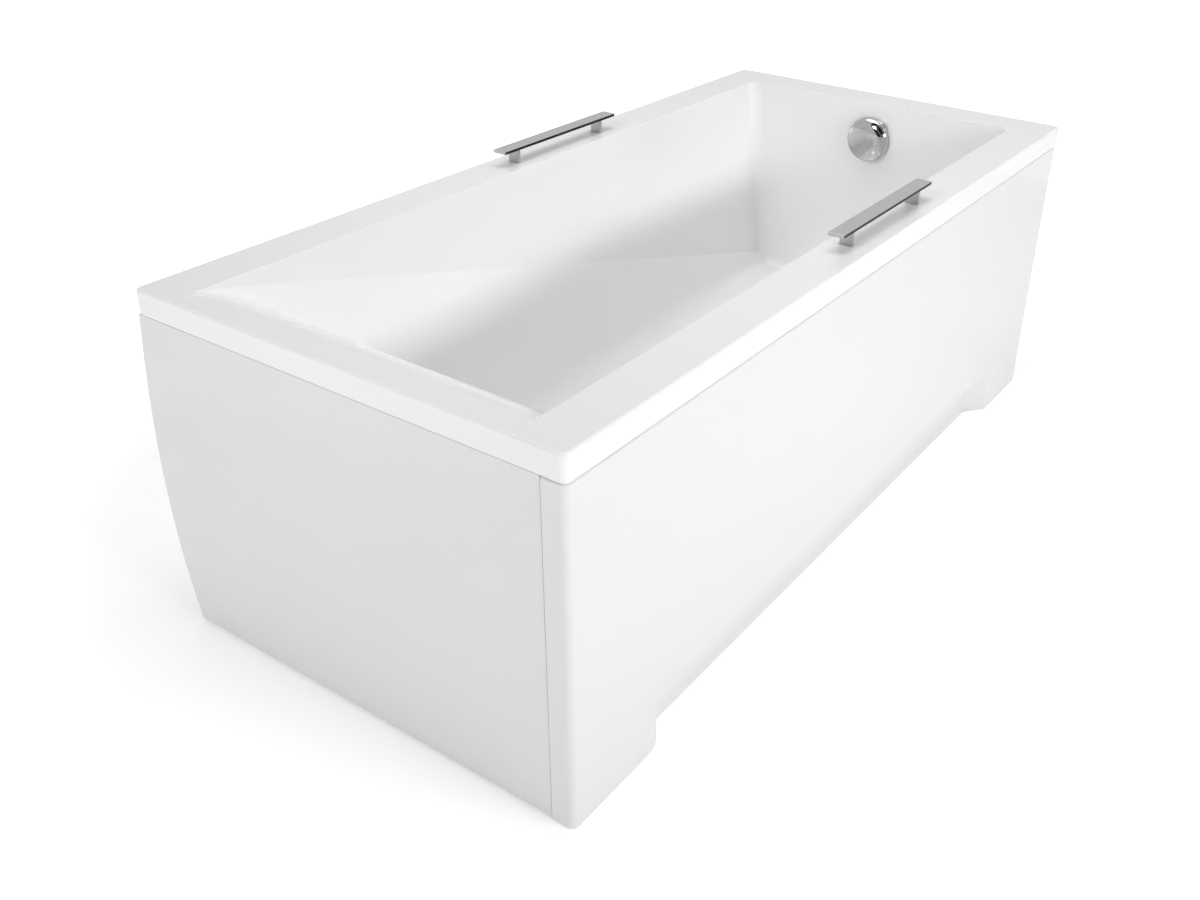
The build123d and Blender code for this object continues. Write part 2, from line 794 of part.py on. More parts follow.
def waste_body():
    """The cup under the floor, with the hose spigot, the lever housing and the outlet."""
    axis = upright(waste_x, 0)
    cup = cup_bore + cup_wall
    body = rod(axis, cup_flange_radius, cup_top - cup_flange_thickness, cup_top)
    body += rod(axis, cup, cup_bottom, cup_top)
    body += rod(axis, outlet_radius, outlet_bottom, cup_bottom)
    spigot = Plane((waste_x, 0, waste_spigot_z), x_dir=(0, 1, 0), z_dir=(1, 0, 0))
    body += rod(spigot, hose_radius, 0, waste_spigot_x - waste_x)
    low, high = lever_z - housing_height / 2, cup_top - cup_flange_thickness
    half = housing_width / 2
    body += block(waste_x - half, waste_x + half, 0, housing_reach, low, high)
    gland = Plane((waste_x, cable_end_y, lever_z - gland_radius), x_dir=(0, 1, 0), z_dir=(1, 0, 0))
    body += rod(gland, gland_radius, 0, half + gland_length)
    body -= rod(axis, cup_bore, cup_bottom + cup_wall, cup_top)
    body -= rod(axis, outlet_radius - outlet_wall, 0, cup_top)
    body -= rod(spigot, hose_bore, 0, 2 * cup_depth)
    body -= rod(gland, cable_radius / 2, 0, 2 * cup_depth)
    inner = half - housing_wall
    cavity_top = min(high - housing_wall, lever_z + housing_height / 2)
    cavity_end = housing_reach - housing_wall
    body -= block(waste_x - inner, waste_x + inner, 0, cavity_end, low + housing_wall, cavity_top)
    pin_end = half - lever_pin_cover
    return body - rod(lever_axis(), lever_pin_radius + running_gap, -pin_end, pin_end)


def lever_axis():
    """The lever's pivot line, along X at the wall of the cup."""
    return Plane((waste_x, lever_reach, lever_z), x_dir=(0, 1, 0), z_dir=(1, 0, 0))


def lever_pin():
    """The pin that the lift lever turns on."""
    reach = housing_width / 2 - lever_pin_cover
    return rod(lever_axis(), lever_pin_radius, seat_gap - reach, reach - seat_gap)


def lift_lever():
    """The rocker that lifts the plug: its tip lies under the stem, its tail takes the cable."""
    axis = lever_axis()
    half = lever_width / 2
    arm = Plane((waste_x, lever_reach, lever_z), x_dir=(0, cos(lever_half_turn), sin(lever_half_turn)),
                z_dir=(1, 0, 0))
    run = lever_reach + lever_tail
    middle = (lever_tail - lever_reach) / 2
    shape = arm.offset(-half) * Pos(middle, 0) * SlotCenterToCenter(run, 2 * lever_tip_radius)
    lever = extrude(shape, lever_width)
    lever += rod(axis, 2 * lever_pin_radius, -half, half)
    return lever - rod(axis, lever_pin_radius + running_gap, -lever_width, lever_width)


def waste_plug():
    """The plug: a shallow dome with a boss for its stem."""
    edge = plug_bottom + plug_thickness - plug_crown
    profile = [(0, plug_bottom), (plug_radius, plug_bottom)]
    profile += [(plug_radius, edge), (plug_radius / 2, edge + plug_crown * 0.75), (0, edge + plug_crown)]
    return Pos(waste_x, 0, 0) * turned(profile)


def plug_seal():
    """The soft ring under the plug."""
    bore = stem_radius + running_gap
    return ring(upright(waste_x, 0), plug_seal_radius, bore, flange_top, plug_bottom)


def plug_stem():
    """The stem that slides in the spider."""
    taper = stem_radius / 2
    axis = upright(waste_x, 0)
    stem = rod(axis, stem_radius, stem_bottom + taper, plug_bottom)
    return stem + Solid.make_cone(stem_tip_radius, stem_radius, taper, axis.offset(stem_bottom))


def hose_path():
    """Middle line of the hose: down, a quarter turn, then level to the waste."""
    corner_z = waste_spigot_z + hose_bend
    corner_x = hose_x - hose_bend
    fall = Edge.make_line((hose_x, 0, hose_top_z), (hose_x, 0, corner_z))
    middle = (corner_x + hose_bend * sqrt(0.5), 0, corner_z - hose_bend * sqrt(0.5))
    bend = Edge.make_three_point_arc((hose_x, 0, corner_z), middle, (corner_x, 0, waste_spigot_z))
    level = Edge.make_line((corner_x, 0, waste_spigot_z), (waste_spigot_x, 0, waste_spigot_z))
    return Wire.combine([fall, bend, level])[0]


def hose_ring(path, distance, radius):
    """A circle round the hose's path, its X axis kept square to the bend."""
    place = path.position_at(distance, position_mode=PositionMode.LENGTH)
    along = path.tangent_at(distance, position_mode=PositionMode.LENGTH)
    return Wire.make_circle(radius, Plane(place, x_dir=(0, 1, 0), z_dir=along))


def overflow_hose():
    """The ribbed hose from the overflow down to the waste."""
    path = hose_path()
    ribbed = path.length - 2 * hose_plain_end
    count = round(ribbed / rib_pitch)
    pitch = ribbed / count
    circles = [hose_ring(path, 0, hose_radius), hose_ring(path, hose_plain_end - pitch / 4, hose_radius)]
    for rib in range(count):
        start = hose_plain_end + rib * pitch
        for share, radius in ((0.05, hose_root), (0.3, hose_root), (0.5, hose_radius), (0.8, hose_radius)):
            circles += [hose_ring(path, start + share * pitch, radius)]
    end = path.length - hose_plain_end
    circles += [hose_ring(path, end + pitch / 4, hose_radius), hose_ring(path, path.length, hose_radius)]
    skin = Solid.make_loft(circles, True)
    bore = sweep(Plane(path @ 0, x_dir=(0, 1, 0), z_dir=path % 0) * Circle(hose_bore), path=path)
    return skin - bore


def hose_unions():
    """The nuts at both ends of the hose."""
    top = Plane((hose_x, 0, hose_top_z))
    low = Plane((waste_spigot_x, 0, waste_spigot_z), x_dir=(0, 1, 0), z_dir=(1, 0, 0))
    half = union_length / 2
    bore = hose_radius + seat_gap
    return [ring(plane, bore + union_wall, bore, -half, half) for plane in (top, low)]


def cable_points():
    """Route of the cable from the overflow's gland to the waste's gland."""
    start = Vector(hose_x, cable_side, hose_top_z)
    end = Vector(waste_x + housing_width / 2 + gland_length, cable_end_y, lever_z - gland_radius)
    down = [start + Vector(*step) for step in cable_steps_down]
    return down + [end + Vector(*step) for step in cable_steps_level]


def bowden_cable():
    """The sheathed cable: straight runs joined by tangent arcs."""
    points = cable_points()
    radii = []
    for before, corner, after in zip(points, points[1:], points[2:]):
        turn = radians((corner - before).get_angle(after - corner))
        shorter = min((corner - before).length, (after - corner).length)
        radii += [0.45 * shorter / tan(turn / 2)]
    path = FilletPolyline(*points, radius=radii)
    print("cable length", round(path.length, 1), "radii", [round(radius, 1) for radius in radii])
    profile = Plane(path @ 0, z_dir=path % 0) * Circle(cable_radius)
    return sweep(profile, path=path)


def trap_body():
    """The low trap: a round cup with a collar for the waste outlet and a level outlet."""
    low = trap_top - trap_height
    axis = upright(waste_x, 0)
    outlet = Plane((waste_x, 0, trap_top - trap_outlet_drop), x_dir=(0, 1, 0), z_dir=(1, 0, 0))
    shoulder = trap_radius + trap_shoulder_length
    body = rod(axis, trap_radius, low + trap_chamfer, trap_top)
    body += Solid.make_cone(trap_radius - trap_chamfer, trap_radius, trap_chamfer, axis.offset(low))
    body += rod(axis, collar_radius, trap_top, trap_top + collar_height)
    body += rod(outlet, outlet_radius + trap_shoulder_wall, 0, shoulder)
    body += rod(outlet, outlet_radius, 0, shoulder + trap_outlet_length)
    body -= rod(axis, trap_radius - trap_wall, low + trap_chamfer, trap_top - trap_wall)
    body -= rod(axis, outlet_radius + seat_gap, trap_top - 2 * trap_wall, cup_bottom)
    return body - rod(outlet, outlet_radius - outlet_wall, 0, shoulder + trap_outlet_length)


def trap_nut():
    """The nut that holds the trap on the waste outlet."""
    axis = upright(waste_x, 0)
    low = trap_top + seat_gap
    high = trap_top + trap_nut_height + trap_nut_lip - trap_nut_gap
    bore = collar_radius + seat_gap
    nut = rod(axis, bore + trap_nut_wall, low, high)
    nut -= rod(axis, bore, 0, high - trap_nut_lip)
    return nut - rod(axis, outlet_radius + seat_gap, 0, rim_height)


def at_places(make, places):
    """One copy of a piece at each (x, y)."""
    return [make(x, y) for x, y in places]


def all_pieces():
    """Every sub-part by its name, as one shape or a list of like shapes."""
    studs = stud_places()
    apron_places, panel_places = clip_places()[:3], clip_places()[3:]
    pieces = {
        "bath_shell": bath_shell(),
        "rim_batten_front": long_batten(-1),
        "rim_batten_back": long_batten(1),
        "rim_batten_head": end_batten(head_batten_face - head_batten_depth, head_batten_face),
        "rim_batten_foot": end_batten(foot_x - wall - seat_gap - batten_depth, foot_x - wall - seat_gap),
        "front_apron": front_apron(),
        "end_panel": end_panel(),
        "apron_clips": [clip().moved(place) for place in apron_places],
        "end_panel_clips": [clip().moved(place) for place in panel_places],
        "clip_screws": [clip_screw().moved(place) for place in clip_places()],
        "base_board": base_board(),
        "leg_bar_head": leg_bar(leg_head_x),
        "leg_bar_foot": leg_bar(leg_foot_x),
        "bar_screws": at_places(bar_screw, bar_screw_places()),
        "foot_nuts": foot_nuts(),
        "handle_bar_front": handle_bar(-1),
        "handle_bar_back": handle_bar(1),
        "handle_posts_front": at_places(handle_post, side_places(-1)),
        "handle_posts_back": at_places(handle_post, side_places(1)),
        "handle_gaskets": at_places(handle_gasket, studs),
        "handle_washers": at_places(handle_washer, studs),
        "handle_nuts": at_places(handle_nut, studs),
        "overflow_body": overflow_body(),
        "overflow_seal": overflow_seal(),
        "overflow_bezel": overflow_bezel(),
        "overflow_knob": overflow_knob(),
        "overflow_spindle": overflow_spindle(),
        "waste_seal": waste_seal(),
        "waste_flange": waste_flange(),
        "waste_body": waste_body(),
        "waste_plug": waste_plug(),
        "plug_seal": plug_seal(),
        "plug_stem": plug_stem(),
        "lever_pin": lever_pin(),
        "lift_lever": lift_lever(),
        "overflow_hose": overflow_hose(),
        "hose_unions": hose_unions(),
        "bowden_cable": bowden_cable(),
        "trap_body": trap_body(),
        "trap_nut": trap_nut(),
    }
    for name, (x, y) in foot_places().items():
        pieces[f"foot_rod_{name}"] = foot_rod(x, y)
        pieces[f"foot_pad_{name}"] = foot_pad(x, y)
    return pieces


os.makedirs("parts", exist_ok=True)
for name, shape in all_pieces().items():
    shapes = shape if isinstance(shape, list) else [shape]
    solids = [solid for item in shapes for solid in item.solids()]
    export_step(Compound(solids) if len(solids) > 1 else solids[0], f"parts/{name}.step")
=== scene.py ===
import json
import logging
import math
from collections.abc import Callable
from dataclasses import dataclass
from enum import Enum

import bmesh
import bpy
from mathutils import Matrix, Vector

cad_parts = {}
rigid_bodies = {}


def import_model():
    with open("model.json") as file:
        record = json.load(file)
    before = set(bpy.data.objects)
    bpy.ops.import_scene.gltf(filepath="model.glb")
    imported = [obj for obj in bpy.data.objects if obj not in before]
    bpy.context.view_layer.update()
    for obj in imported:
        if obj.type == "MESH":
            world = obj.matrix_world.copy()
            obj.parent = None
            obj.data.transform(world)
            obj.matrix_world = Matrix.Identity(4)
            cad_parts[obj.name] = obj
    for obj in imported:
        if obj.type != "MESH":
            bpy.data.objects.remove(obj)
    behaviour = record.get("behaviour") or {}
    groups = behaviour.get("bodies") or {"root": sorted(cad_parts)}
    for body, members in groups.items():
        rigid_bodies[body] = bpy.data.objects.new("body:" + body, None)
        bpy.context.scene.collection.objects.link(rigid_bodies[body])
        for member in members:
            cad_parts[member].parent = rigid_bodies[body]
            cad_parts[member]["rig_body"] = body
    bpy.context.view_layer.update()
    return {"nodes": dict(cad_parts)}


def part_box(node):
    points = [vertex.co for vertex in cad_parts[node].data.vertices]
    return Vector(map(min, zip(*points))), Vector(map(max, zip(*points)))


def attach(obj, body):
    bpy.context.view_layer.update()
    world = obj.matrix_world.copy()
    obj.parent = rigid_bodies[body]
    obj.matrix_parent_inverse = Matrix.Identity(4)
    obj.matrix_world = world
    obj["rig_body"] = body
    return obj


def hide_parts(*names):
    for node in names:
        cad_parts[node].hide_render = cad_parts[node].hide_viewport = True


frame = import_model()
log = logging.getLogger("bath")

Point = tuple[float, float]
Place = tuple[float, float, float]
Colour = tuple[float, float, float]

NUMBER = "NodeSocketFloat"
COLOUR = "NodeSocketColor"
PALE = (0.8, 0.8, 0.8, 1.0)
WHITE = (1.0, 1.0, 1.0, 1.0)
CLOSE = 1e-6


class Grain(Enum):
    """How the relief of a finish is stretched, as scales along X, Y and Z."""

    EVEN = (1.0, 1.0, 1.0)
    ALONG_X = (0.03, 1.0, 1.0)
    ALONG_Z = (1.0, 1.0, 0.03)


class Pattern(Enum):
    """The pattern that carries a finish's colours, with the name of its node group."""

    DRIFT = "ToneDrift"
    FLAKES = "WoodFlakes"


class Cut(Enum):
    """How one closed mesh changes another."""

    JOIN = "UNION"
    REMOVE = "DIFFERENCE"
    KEEP_SHARED = "INTERSECT"


def group_shell(name: str, inputs: dict[str, tuple[str, object]],
                outputs: dict[str, str]) -> bpy.types.NodeTree:
    """Starts a shader node group with named inputs and outputs.

    Args:
        name: name of the group.
        inputs: socket type and starting value by input name.
        outputs: socket type by output name.

    Returns:
        The node tree, with its input and output nodes named "in" and "out".
    """
    tree = bpy.data.node_groups.new(name, "ShaderNodeTree")
    for label, (kind, value) in inputs.items():
        socket = tree.interface.new_socket(label, in_out="INPUT", socket_type=kind)
        socket.default_value = value
    for label, kind in outputs.items():
        tree.interface.new_socket(label, in_out="OUTPUT", socket_type=kind)
    tree.nodes.new("NodeGroupInput").name = "in"
    tree.nodes.new("NodeGroupOutput").name = "out"
    return tree


def make_pattern_group(pattern: Pattern) -> bpy.types.NodeTree:
    """Builds the spread of two tones: a slow drift, or the pressed flakes of chipboard.

    Args:
        pattern: which of the two.

    Returns:
        The node group.
    """
    inputs = {"Main": (COLOUR, PALE), "Second": (COLOUR, PALE),
              "Scale": (NUMBER, 8.0), "Contrast": (NUMBER, 0.5)}
    tree = group_shell(pattern.value, inputs, {"Color": COLOUR, "Mask": NUMBER})
    nodes, links = tree.nodes, tree.links
    if pattern is Pattern.FLAKES:
        texture = nodes.new("ShaderNodeTexVoronoi")
        split = nodes.new("ShaderNodeSeparateColor")
        links.new(texture.outputs["Color"], split.inputs["Color"])
        mask = split.outputs["Red"]
    else:
        texture = nodes.new("ShaderNodeTexNoise")
        texture.inputs["Detail"].default_value = 5.0
        mask = texture.outputs["Fac"]
    place = nodes.new("ShaderNodeTexCoord")
    level = nodes.new("ShaderNodeMath")
    level.operation = "MULTIPLY"
    mix = nodes.new("ShaderNodeMix")
    mix.data_type = "RGBA"
    links.new(place.outputs["Object"], texture.inputs["Vector"])
    links.new(nodes["in"].outputs["Scale"], texture.inputs["Scale"])
    links.new(mask, level.inputs[0])
    links.new(nodes["in"].outputs["Contrast"], level.inputs[1])
    links.new(level.outputs[0], mix.inputs["Factor"])
    links.new(nodes["in"].outputs["Main"], mix.inputs["A"])
    links.new(nodes["in"].outputs["Second"], mix.inputs["B"])
    links.new(mix.outputs["Result"], nodes["out"].inputs["Color"])
    links.new(mask, nodes["out"].inputs["Mask"])
    return tree


def make_relief_group() -> bpy.types.NodeTree:
    """Builds the fine relief of a surface, which a stretch turns into brushed grain.

    Returns:
        The node group.
    """
    stretch_input = ("NodeSocketVector", Grain.EVEN.value)
    inputs = {"Scale": (NUMBER, 300.0), "Detail": (NUMBER, 2.0), "Stretch": stretch_input}
    tree = group_shell("FineRelief", inputs, {"Height": NUMBER})
    nodes, links = tree.nodes, tree.links
    place = nodes.new("ShaderNodeTexCoord")
    stretch = nodes.new("ShaderNodeVectorMath")
    stretch.operation = "MULTIPLY"
    noise = nodes.new("ShaderNodeTexNoise")
    links.new(place.outputs["Object"], stretch.inputs[0])
    links.new(nodes["in"].outputs["Stretch"], stretch.inputs[1])
    links.new(stretch.outputs[0], noise.inputs["Vector"])
    links.new(nodes["in"].outputs["Scale"], noise.inputs["Scale"])
    links.new(nodes["in"].outputs["Detail"], noise.inputs["Detail"])
    links.new(noise.outputs["Fac"], nodes["out"].inputs["Height"])
    return tree


def make_painted_reflection_group(plain: float = 0.80, full: float = 0.97) -> bpy.types.NodeTree:
    """Builds a painted dark reflection on the long side faces of a bar, which darkens the base colour where
    a face points along Y.

    Args:
        plain: share of a face's direction along Y up to which it keeps its tone.
        full: share from which it has the whole painted dark reflection.

    Returns:
        The node group.
    """
    # The group paints a dark reflection into the base colour of faces that point along Y.
    tree = group_shell("PaintedDarkReflection", {"Color": (COLOUR, PALE), "Painted Reflection Tone": (NUMBER, 0.2)}, {"Color": COLOUR})
    nodes, links = tree.nodes, tree.links
    place = nodes.new("ShaderNodeTexCoord")
    split = nodes.new("ShaderNodeSeparateXYZ")
    size = nodes.new("ShaderNodeMath")
    size.operation = "ABSOLUTE"
    level = nodes.new("ShaderNodeMapRange")
    level.inputs["From Min"].default_value = plain
    level.inputs["From Max"].default_value = full
    level.inputs["To Min"].default_value = 1.0
    scale = nodes.new("ShaderNodeVectorMath")
    scale.operation = "SCALE"
    links.new(place.outputs["Normal"], split.inputs["Vector"])
    links.new(split.outputs["Y"], size.inputs[0])
    links.new(size.outputs[0], level.inputs["Value"])
    links.new(nodes["in"].outputs["Painted Reflection Tone"], level.inputs["To Max"])
    links.new(nodes["in"].outputs["Color"], scale.inputs[0])
    links.new(level.outputs["Result"], scale.inputs["Scale"])
    links.new(scale.outputs["Vector"], nodes["out"].inputs["Color"])
    return tree


@dataclass(frozen=True)
class Effects:
    """The node groups that the finishes share."""

    drift: bpy.types.NodeTree
    flakes: bpy.types.NodeTree
    relief: bpy.types.NodeTree
    # the painted dark reflection on the long side faces of a bar
    edges: bpy.types.NodeTree


@dataclass(frozen=True)
class Finish:
    """One surface finish, as its colours, gloss and fine relief, with a painted dark reflection on the side
    faces of bars.
    """

    name: str
    main: Colour
    second: Colour
    smooth: float
    rough: float
    metallic: float = 0.0
    coat: float = 0.0
    coat_rough: float = 0.05
    pattern: Pattern = Pattern.DRIFT
    tone_scale: float = 8.0
    contrast: float = 0.6
    relief_scale: float = 300.0
    relief_detail: float = 2.0
    relief_depth: float = 0.00002
    relief_strength: float = 0.1
    grain: Grain = Grain.EVEN
    # how far the painted dark reflection darkens faces that point along Y; 1 paints none
    painted_reflection_tone: float = 1.0

    def build(self, effects: Effects) -> bpy.types.Material:
        """Makes the material.

        Args:
            effects: the shared node groups.

        Returns:
            The material.
        """
        material = bpy.data.materials.new(self.name)
        material.use_nodes = True
        nodes, links = material.node_tree.nodes, material.node_tree.links
        shader = nodes["Principled BSDF"]
        shader.inputs["Metallic"].default_value = self.metallic
        shader.inputs["Coat Weight"].default_value = self.coat
        shader.inputs["Coat Roughness"].default_value = self.coat_rough
        shader.inputs["Emission Color"].default_value = WHITE
        tone = nodes.new("ShaderNodeGroup")
        tone.node_tree = effects.flakes if self.pattern is Pattern.FLAKES else effects.drift
        tone.inputs["Main"].default_value = (*self.main, 1.0)
        tone.inputs["Second"].default_value = (*self.second, 1.0)
        tone.inputs["Scale"].default_value = self.tone_scale
        tone.inputs["Contrast"].default_value = self.contrast
        colour = tone.outputs["Color"]
        # Paints a dark reflection into the base colour of faces that point along Y.
        if self.painted_reflection_tone < 1.0:
            painted_reflection_node = nodes.new("ShaderNodeGroup")
            painted_reflection_node.node_tree = effects.edges
            painted_reflection_node.inputs["Painted Reflection Tone"].default_value = self.painted_reflection_tone
            links.new(colour, painted_reflection_node.inputs["Color"])
            colour = painted_reflection_node.outputs["Color"]
        links.new(colour, shader.inputs["Base Color"])
        relief = nodes.new("ShaderNodeGroup")
        relief.node_tree = effects.relief
        relief.inputs["Scale"].default_value = self.relief_scale
        relief.inputs["Detail"].default_value = self.relief_detail
        relief.inputs["Stretch"].default_value = self.grain.value
        spread = nodes.new("ShaderNodeMapRange")
        spread.inputs["To Min"].default_value = self.smooth
        spread.inputs["To Max"].default_value = self.rough
        source = tone.outputs["Mask"] if self.grain is Grain.EVEN else relief.outputs["Height"]
        links.new(source, spread.inputs["Value"])
        links.new(spread.outputs["Result"], shader.inputs["Roughness"])
        bump = nodes.new("ShaderNodeBump")
        bump.inputs["Strength"].default_value = self.relief_strength
        bump.inputs["Distance"].default_value = self.relief_depth
        links.new(relief.outputs["Height"], bump.inputs["Height"])
        links.new(bump.outputs["Normal"], shader.inputs["Normal"])
        return material


FINISHES = {
    "acrylic": Finish("gloss_acrylic", (0.90, 0.90, 0.90), (0.88, 0.88, 0.885), 0.12, 0.17, coat=0.5,
                      tone_scale=3.0, relief_scale=90.0, relief_depth=0.0003, relief_strength=0.04),
    "panel": Finish("gloss_sheet", (0.79, 0.79, 0.79), (0.76, 0.76, 0.765), 0.12, 0.18, coat=0.4,
                    tone_scale=3.0, relief_scale=60.0, relief_depth=0.0003, relief_strength=0.04),
    # The bars get a painted dark reflection on their long side faces.
    "brushed": Finish("brushed_steel", (0.44, 0.44, 0.445), (0.78, 0.78, 0.79), 0.24, 0.42, metallic=1.0,
                      tone_scale=450.0, contrast=1.0, relief_scale=2600.0, relief_depth=0.00005,
                      relief_strength=0.25, grain=Grain.ALONG_X, painted_reflection_tone=0.05),
    "post": Finish("brushed_post", (0.46, 0.46, 0.465), (0.62, 0.62, 0.63), 0.24, 0.40, metallic=1.0,
                   tone_scale=60.0, relief_scale=2600.0, relief_depth=0.00005, relief_strength=0.25,
                   grain=Grain.ALONG_Z),
    "chrome": Finish("bright_chrome", (0.58, 0.58, 0.585), (0.52, 0.52, 0.525), 0.04, 0.08, metallic=1.0,
                     tone_scale=20.0, relief_scale=150.0, relief_depth=0.0001, relief_strength=0.02),
    "zinc": Finish("zinc_plate", (0.58, 0.59, 0.60), (0.44, 0.45, 0.46), 0.30, 0.50, metallic=1.0,
                   tone_scale=45.0, relief_scale=500.0, relief_depth=0.0001, relief_strength=0.15),
    "brass": Finish("turned_brass", (0.72, 0.52, 0.24), (0.60, 0.42, 0.18), 0.22, 0.38, metallic=1.0,
                    tone_scale=70.0, relief_scale=900.0, relief_depth=0.0001, relief_strength=0.15),
    "chipboard": Finish("raw_chipboard", (0.66, 0.49, 0.30), (0.42, 0.29, 0.16), 0.75, 0.92,
                        pattern=Pattern.FLAKES, tone_scale=320.0, contrast=0.9, relief_scale=420.0,
                        relief_detail=6.0, relief_depth=0.0005, relief_strength=0.4),
    "white_plastic": Finish("moulded_white", (0.74, 0.74, 0.72), (0.68, 0.68, 0.65), 0.38, 0.50,
                            tone_scale=25.0, relief_scale=700.0, relief_depth=0.0002, relief_strength=0.15),
    "black_plastic": Finish("moulded_black", (0.030, 0.030, 0.031), (0.050, 0.050, 0.052), 0.42, 0.58,
                            tone_scale=35.0, relief_scale=800.0, relief_depth=0.0002, relief_strength=0.2),
    "hose": Finish("moulded_grey", (0.34, 0.35, 0.36), (0.28, 0.29, 0.30), 0.42, 0.55,
                   tone_scale=30.0, relief_scale=700.0, relief_depth=0.0002, relief_strength=0.2),
    "pale_seal": Finish("clear_rubber", (0.60, 0.60, 0.60), (0.54, 0.54, 0.54), 0.45, 0.60,
                        tone_scale=60.0, relief_scale=900.0, relief_depth=0.0001, relief_strength=0.2),
    "seal": Finish("soft_rubber", (0.022, 0.022, 0.022), (0.045, 0.045, 0.045), 0.65, 0.85,
                   tone_scale=60.0, relief_scale=900.0, relief_depth=0.0003, relief_strength=0.3),
}

NODES_BY_FINISH = {
    "panel": "front_apron end_panel",
    "chipboard": "rim_batten_front rim_batten_back rim_batten_head rim_batten_foot base_board",
    "zinc": "apron_clips end_panel_clips clip_screws leg_bar_head leg_bar_foot bar_screws foot_nuts "
            "handle_washers handle_nuts foot_rod_head_front foot_rod_head_back foot_rod_foot_front "
            "foot_rod_foot_back",
    "post": "handle_posts_front handle_posts_back",
    "chrome": "overflow_bezel waste_flange waste_plug",
    "brass": "overflow_spindle plug_stem lever_pin",
    "pale_seal": "handle_gaskets",
    "seal": "overflow_seal waste_seal plug_seal",
    "white_plastic": "trap_body trap_nut waste_body hose_unions overflow_body",
    "hose": "overflow_hose",
    "black_plastic": "bowden_cable lift_lever foot_pad_head_front foot_pad_head_back foot_pad_foot_front "
                     "foot_pad_foot_back",
}
SMOOTHED = "end_panel overflow_bezel waste_flange waste_plug overflow_hose bowden_cable trap_body"
SMOOTH_LIMITS = {"front_apron": 20.0, **dict.fromkeys(SMOOTHED.split(), 35.0)}


def mesh_object(name: str, points: list, faces: list) -> bpy.types.Object:
    """Makes an object from points and faces, with its faces turned outward.

    Args:
        name: name of the object.
        points: corners, in metres.
        faces: corner numbers of each face.

    Returns:
        The object, linked to the scene.
    """
    mesh = bpy.data.meshes.new(name)
    mesh.from_pydata([tuple(point) for point in points], [], faces)
    shape = bmesh.new()
    shape.from_mesh(mesh)
    bmesh.ops.recalc_face_normals(shape, faces=shape.faces)
    shape.to_mesh(mesh)
    shape.free()
    piece = bpy.data.objects.new(name, mesh)
    bpy.context.scene.collection.objects.link(piece)
    return piece


def settle(piece: bpy.types.Object) -> None:
    """Applies every modifier of a piece.

    Args:
        piece: the object.
    """
    view = bpy.context.evaluated_depsgraph_get()
    mesh = bpy.data.meshes.new_from_object(piece.evaluated_get(view))
    piece.modifiers.clear()
    piece.data = mesh


def carve(piece: bpy.types.Object, tool: bpy.types.Object, how: Cut) -> None:
    """Joins, removes or keeps what two closed meshes share, and deletes the second.

    Args:
        piece: the mesh that changes.
        tool: the mesh that changes it.
        how: which of the three.
    """
    change = piece.modifiers.new("cut", "BOOLEAN")
    change.operation = how.value
    change.solver = "EXACT"
    change.object = tool
    settle(piece)
    bpy.data.objects.remove(tool)


def polish(piece: bpy.types.Object, degrees: float, creased: Callable[[Vector], bool] | None = None,
           weight: int = 80) -> None:
    """Shades a piece smooth between its sharp edges, with flat faces kept flat.

    Args:
        piece: the object.
        degrees: edges that turn more than this stay sharp.
        creased: says whether a point lies on a crease that stays sharp at any angle.
        weight: how much large faces count in the shading of their corners.
    """
    shape = bmesh.new()
    shape.from_mesh(piece.data)
    bmesh.ops.remove_doubles(shape, verts=shape.verts, dist=CLOSE)
    shape.to_mesh(piece.data)
    shape.free()
    piece.data.shade_smooth()
    piece.data.set_sharp_from_angle(angle=math.radians(degrees))
    if creased:
        marked = {corner.index for corner in piece.data.vertices if creased(corner.co)}
        for line in piece.data.edges:
            if marked.issuperset(line.vertices):
                line.use_edge_sharp = True
    weigh = piece.modifiers.new("flat faces", "WEIGHTED_NORMAL")
    weigh.keep_sharp = True
    weigh.weight = weight
    settle(piece)
    flatten(piece)


def flatten(piece: bpy.types.Object, square: float = 0.99999, least_area: float = 1e-3) -> None:
    """Gives large faces that stand square to an axis their own direction, so that they shade evenly.

    Args:
        piece: the object.
        square: share of a face's direction along an axis from which it counts as square to it.
        least_area: planes with less than this keep their smooth shading, in square metres.
    """
    mesh = piece.data
    planes: dict[tuple[float, ...], list[int]] = {}
    for face in mesh.polygons:
        if max(abs(part) for part in face.normal) > square:
            key = (*(round(part) for part in face.normal), round(face.center.dot(face.normal), 4))
            planes.setdefault(key, []).append(face.index)
    normals = [corner.vector.copy() for corner in mesh.corner_normals]
    for faces in planes.values():
        if sum(mesh.polygons[index].area for index in faces) > least_area:
            for index in faces:
                for corner in mesh.polygons[index].loop_indices:
                    normals[corner] = mesh.polygons[index].normal.copy()
    mesh.normals_split_custom_set(normals)


def turned(name: str, profile: list[Point], place: Matrix, steps: int = 128) -> bpy.types.Object:
    """Turns a closed outline of (radius, height) points round the Z axis of a place.

    Args:
        name: name of the object.
        profile: the outline. A point with no radius lies on the axis.
        place: where the axis stands.
        steps: faces in a full turn.

    Returns:
        The closed object.
    """
    points, rows = [], []
    for radius, height in profile:
        row = []
        for step in range(1 if radius == 0 else steps):
            angle = 2 * math.pi * step / steps
            row.append(len(points))
            points.append(place @ Vector((radius * math.cos(angle), radius * math.sin(angle), height)))
        rows.append(row * steps if radius == 0 else row)
    faces = []
    for low, high in zip(rows, rows[1:] + rows[:1]):
        for step in range(steps):
            after = (step + 1) % steps
            corners = (low[step], low[after], high[after], high[step])
            face = list(dict.fromkeys(corners))
            if len(face) > 2:
                faces.append(face)
    return mesh_object(name, points, faces)


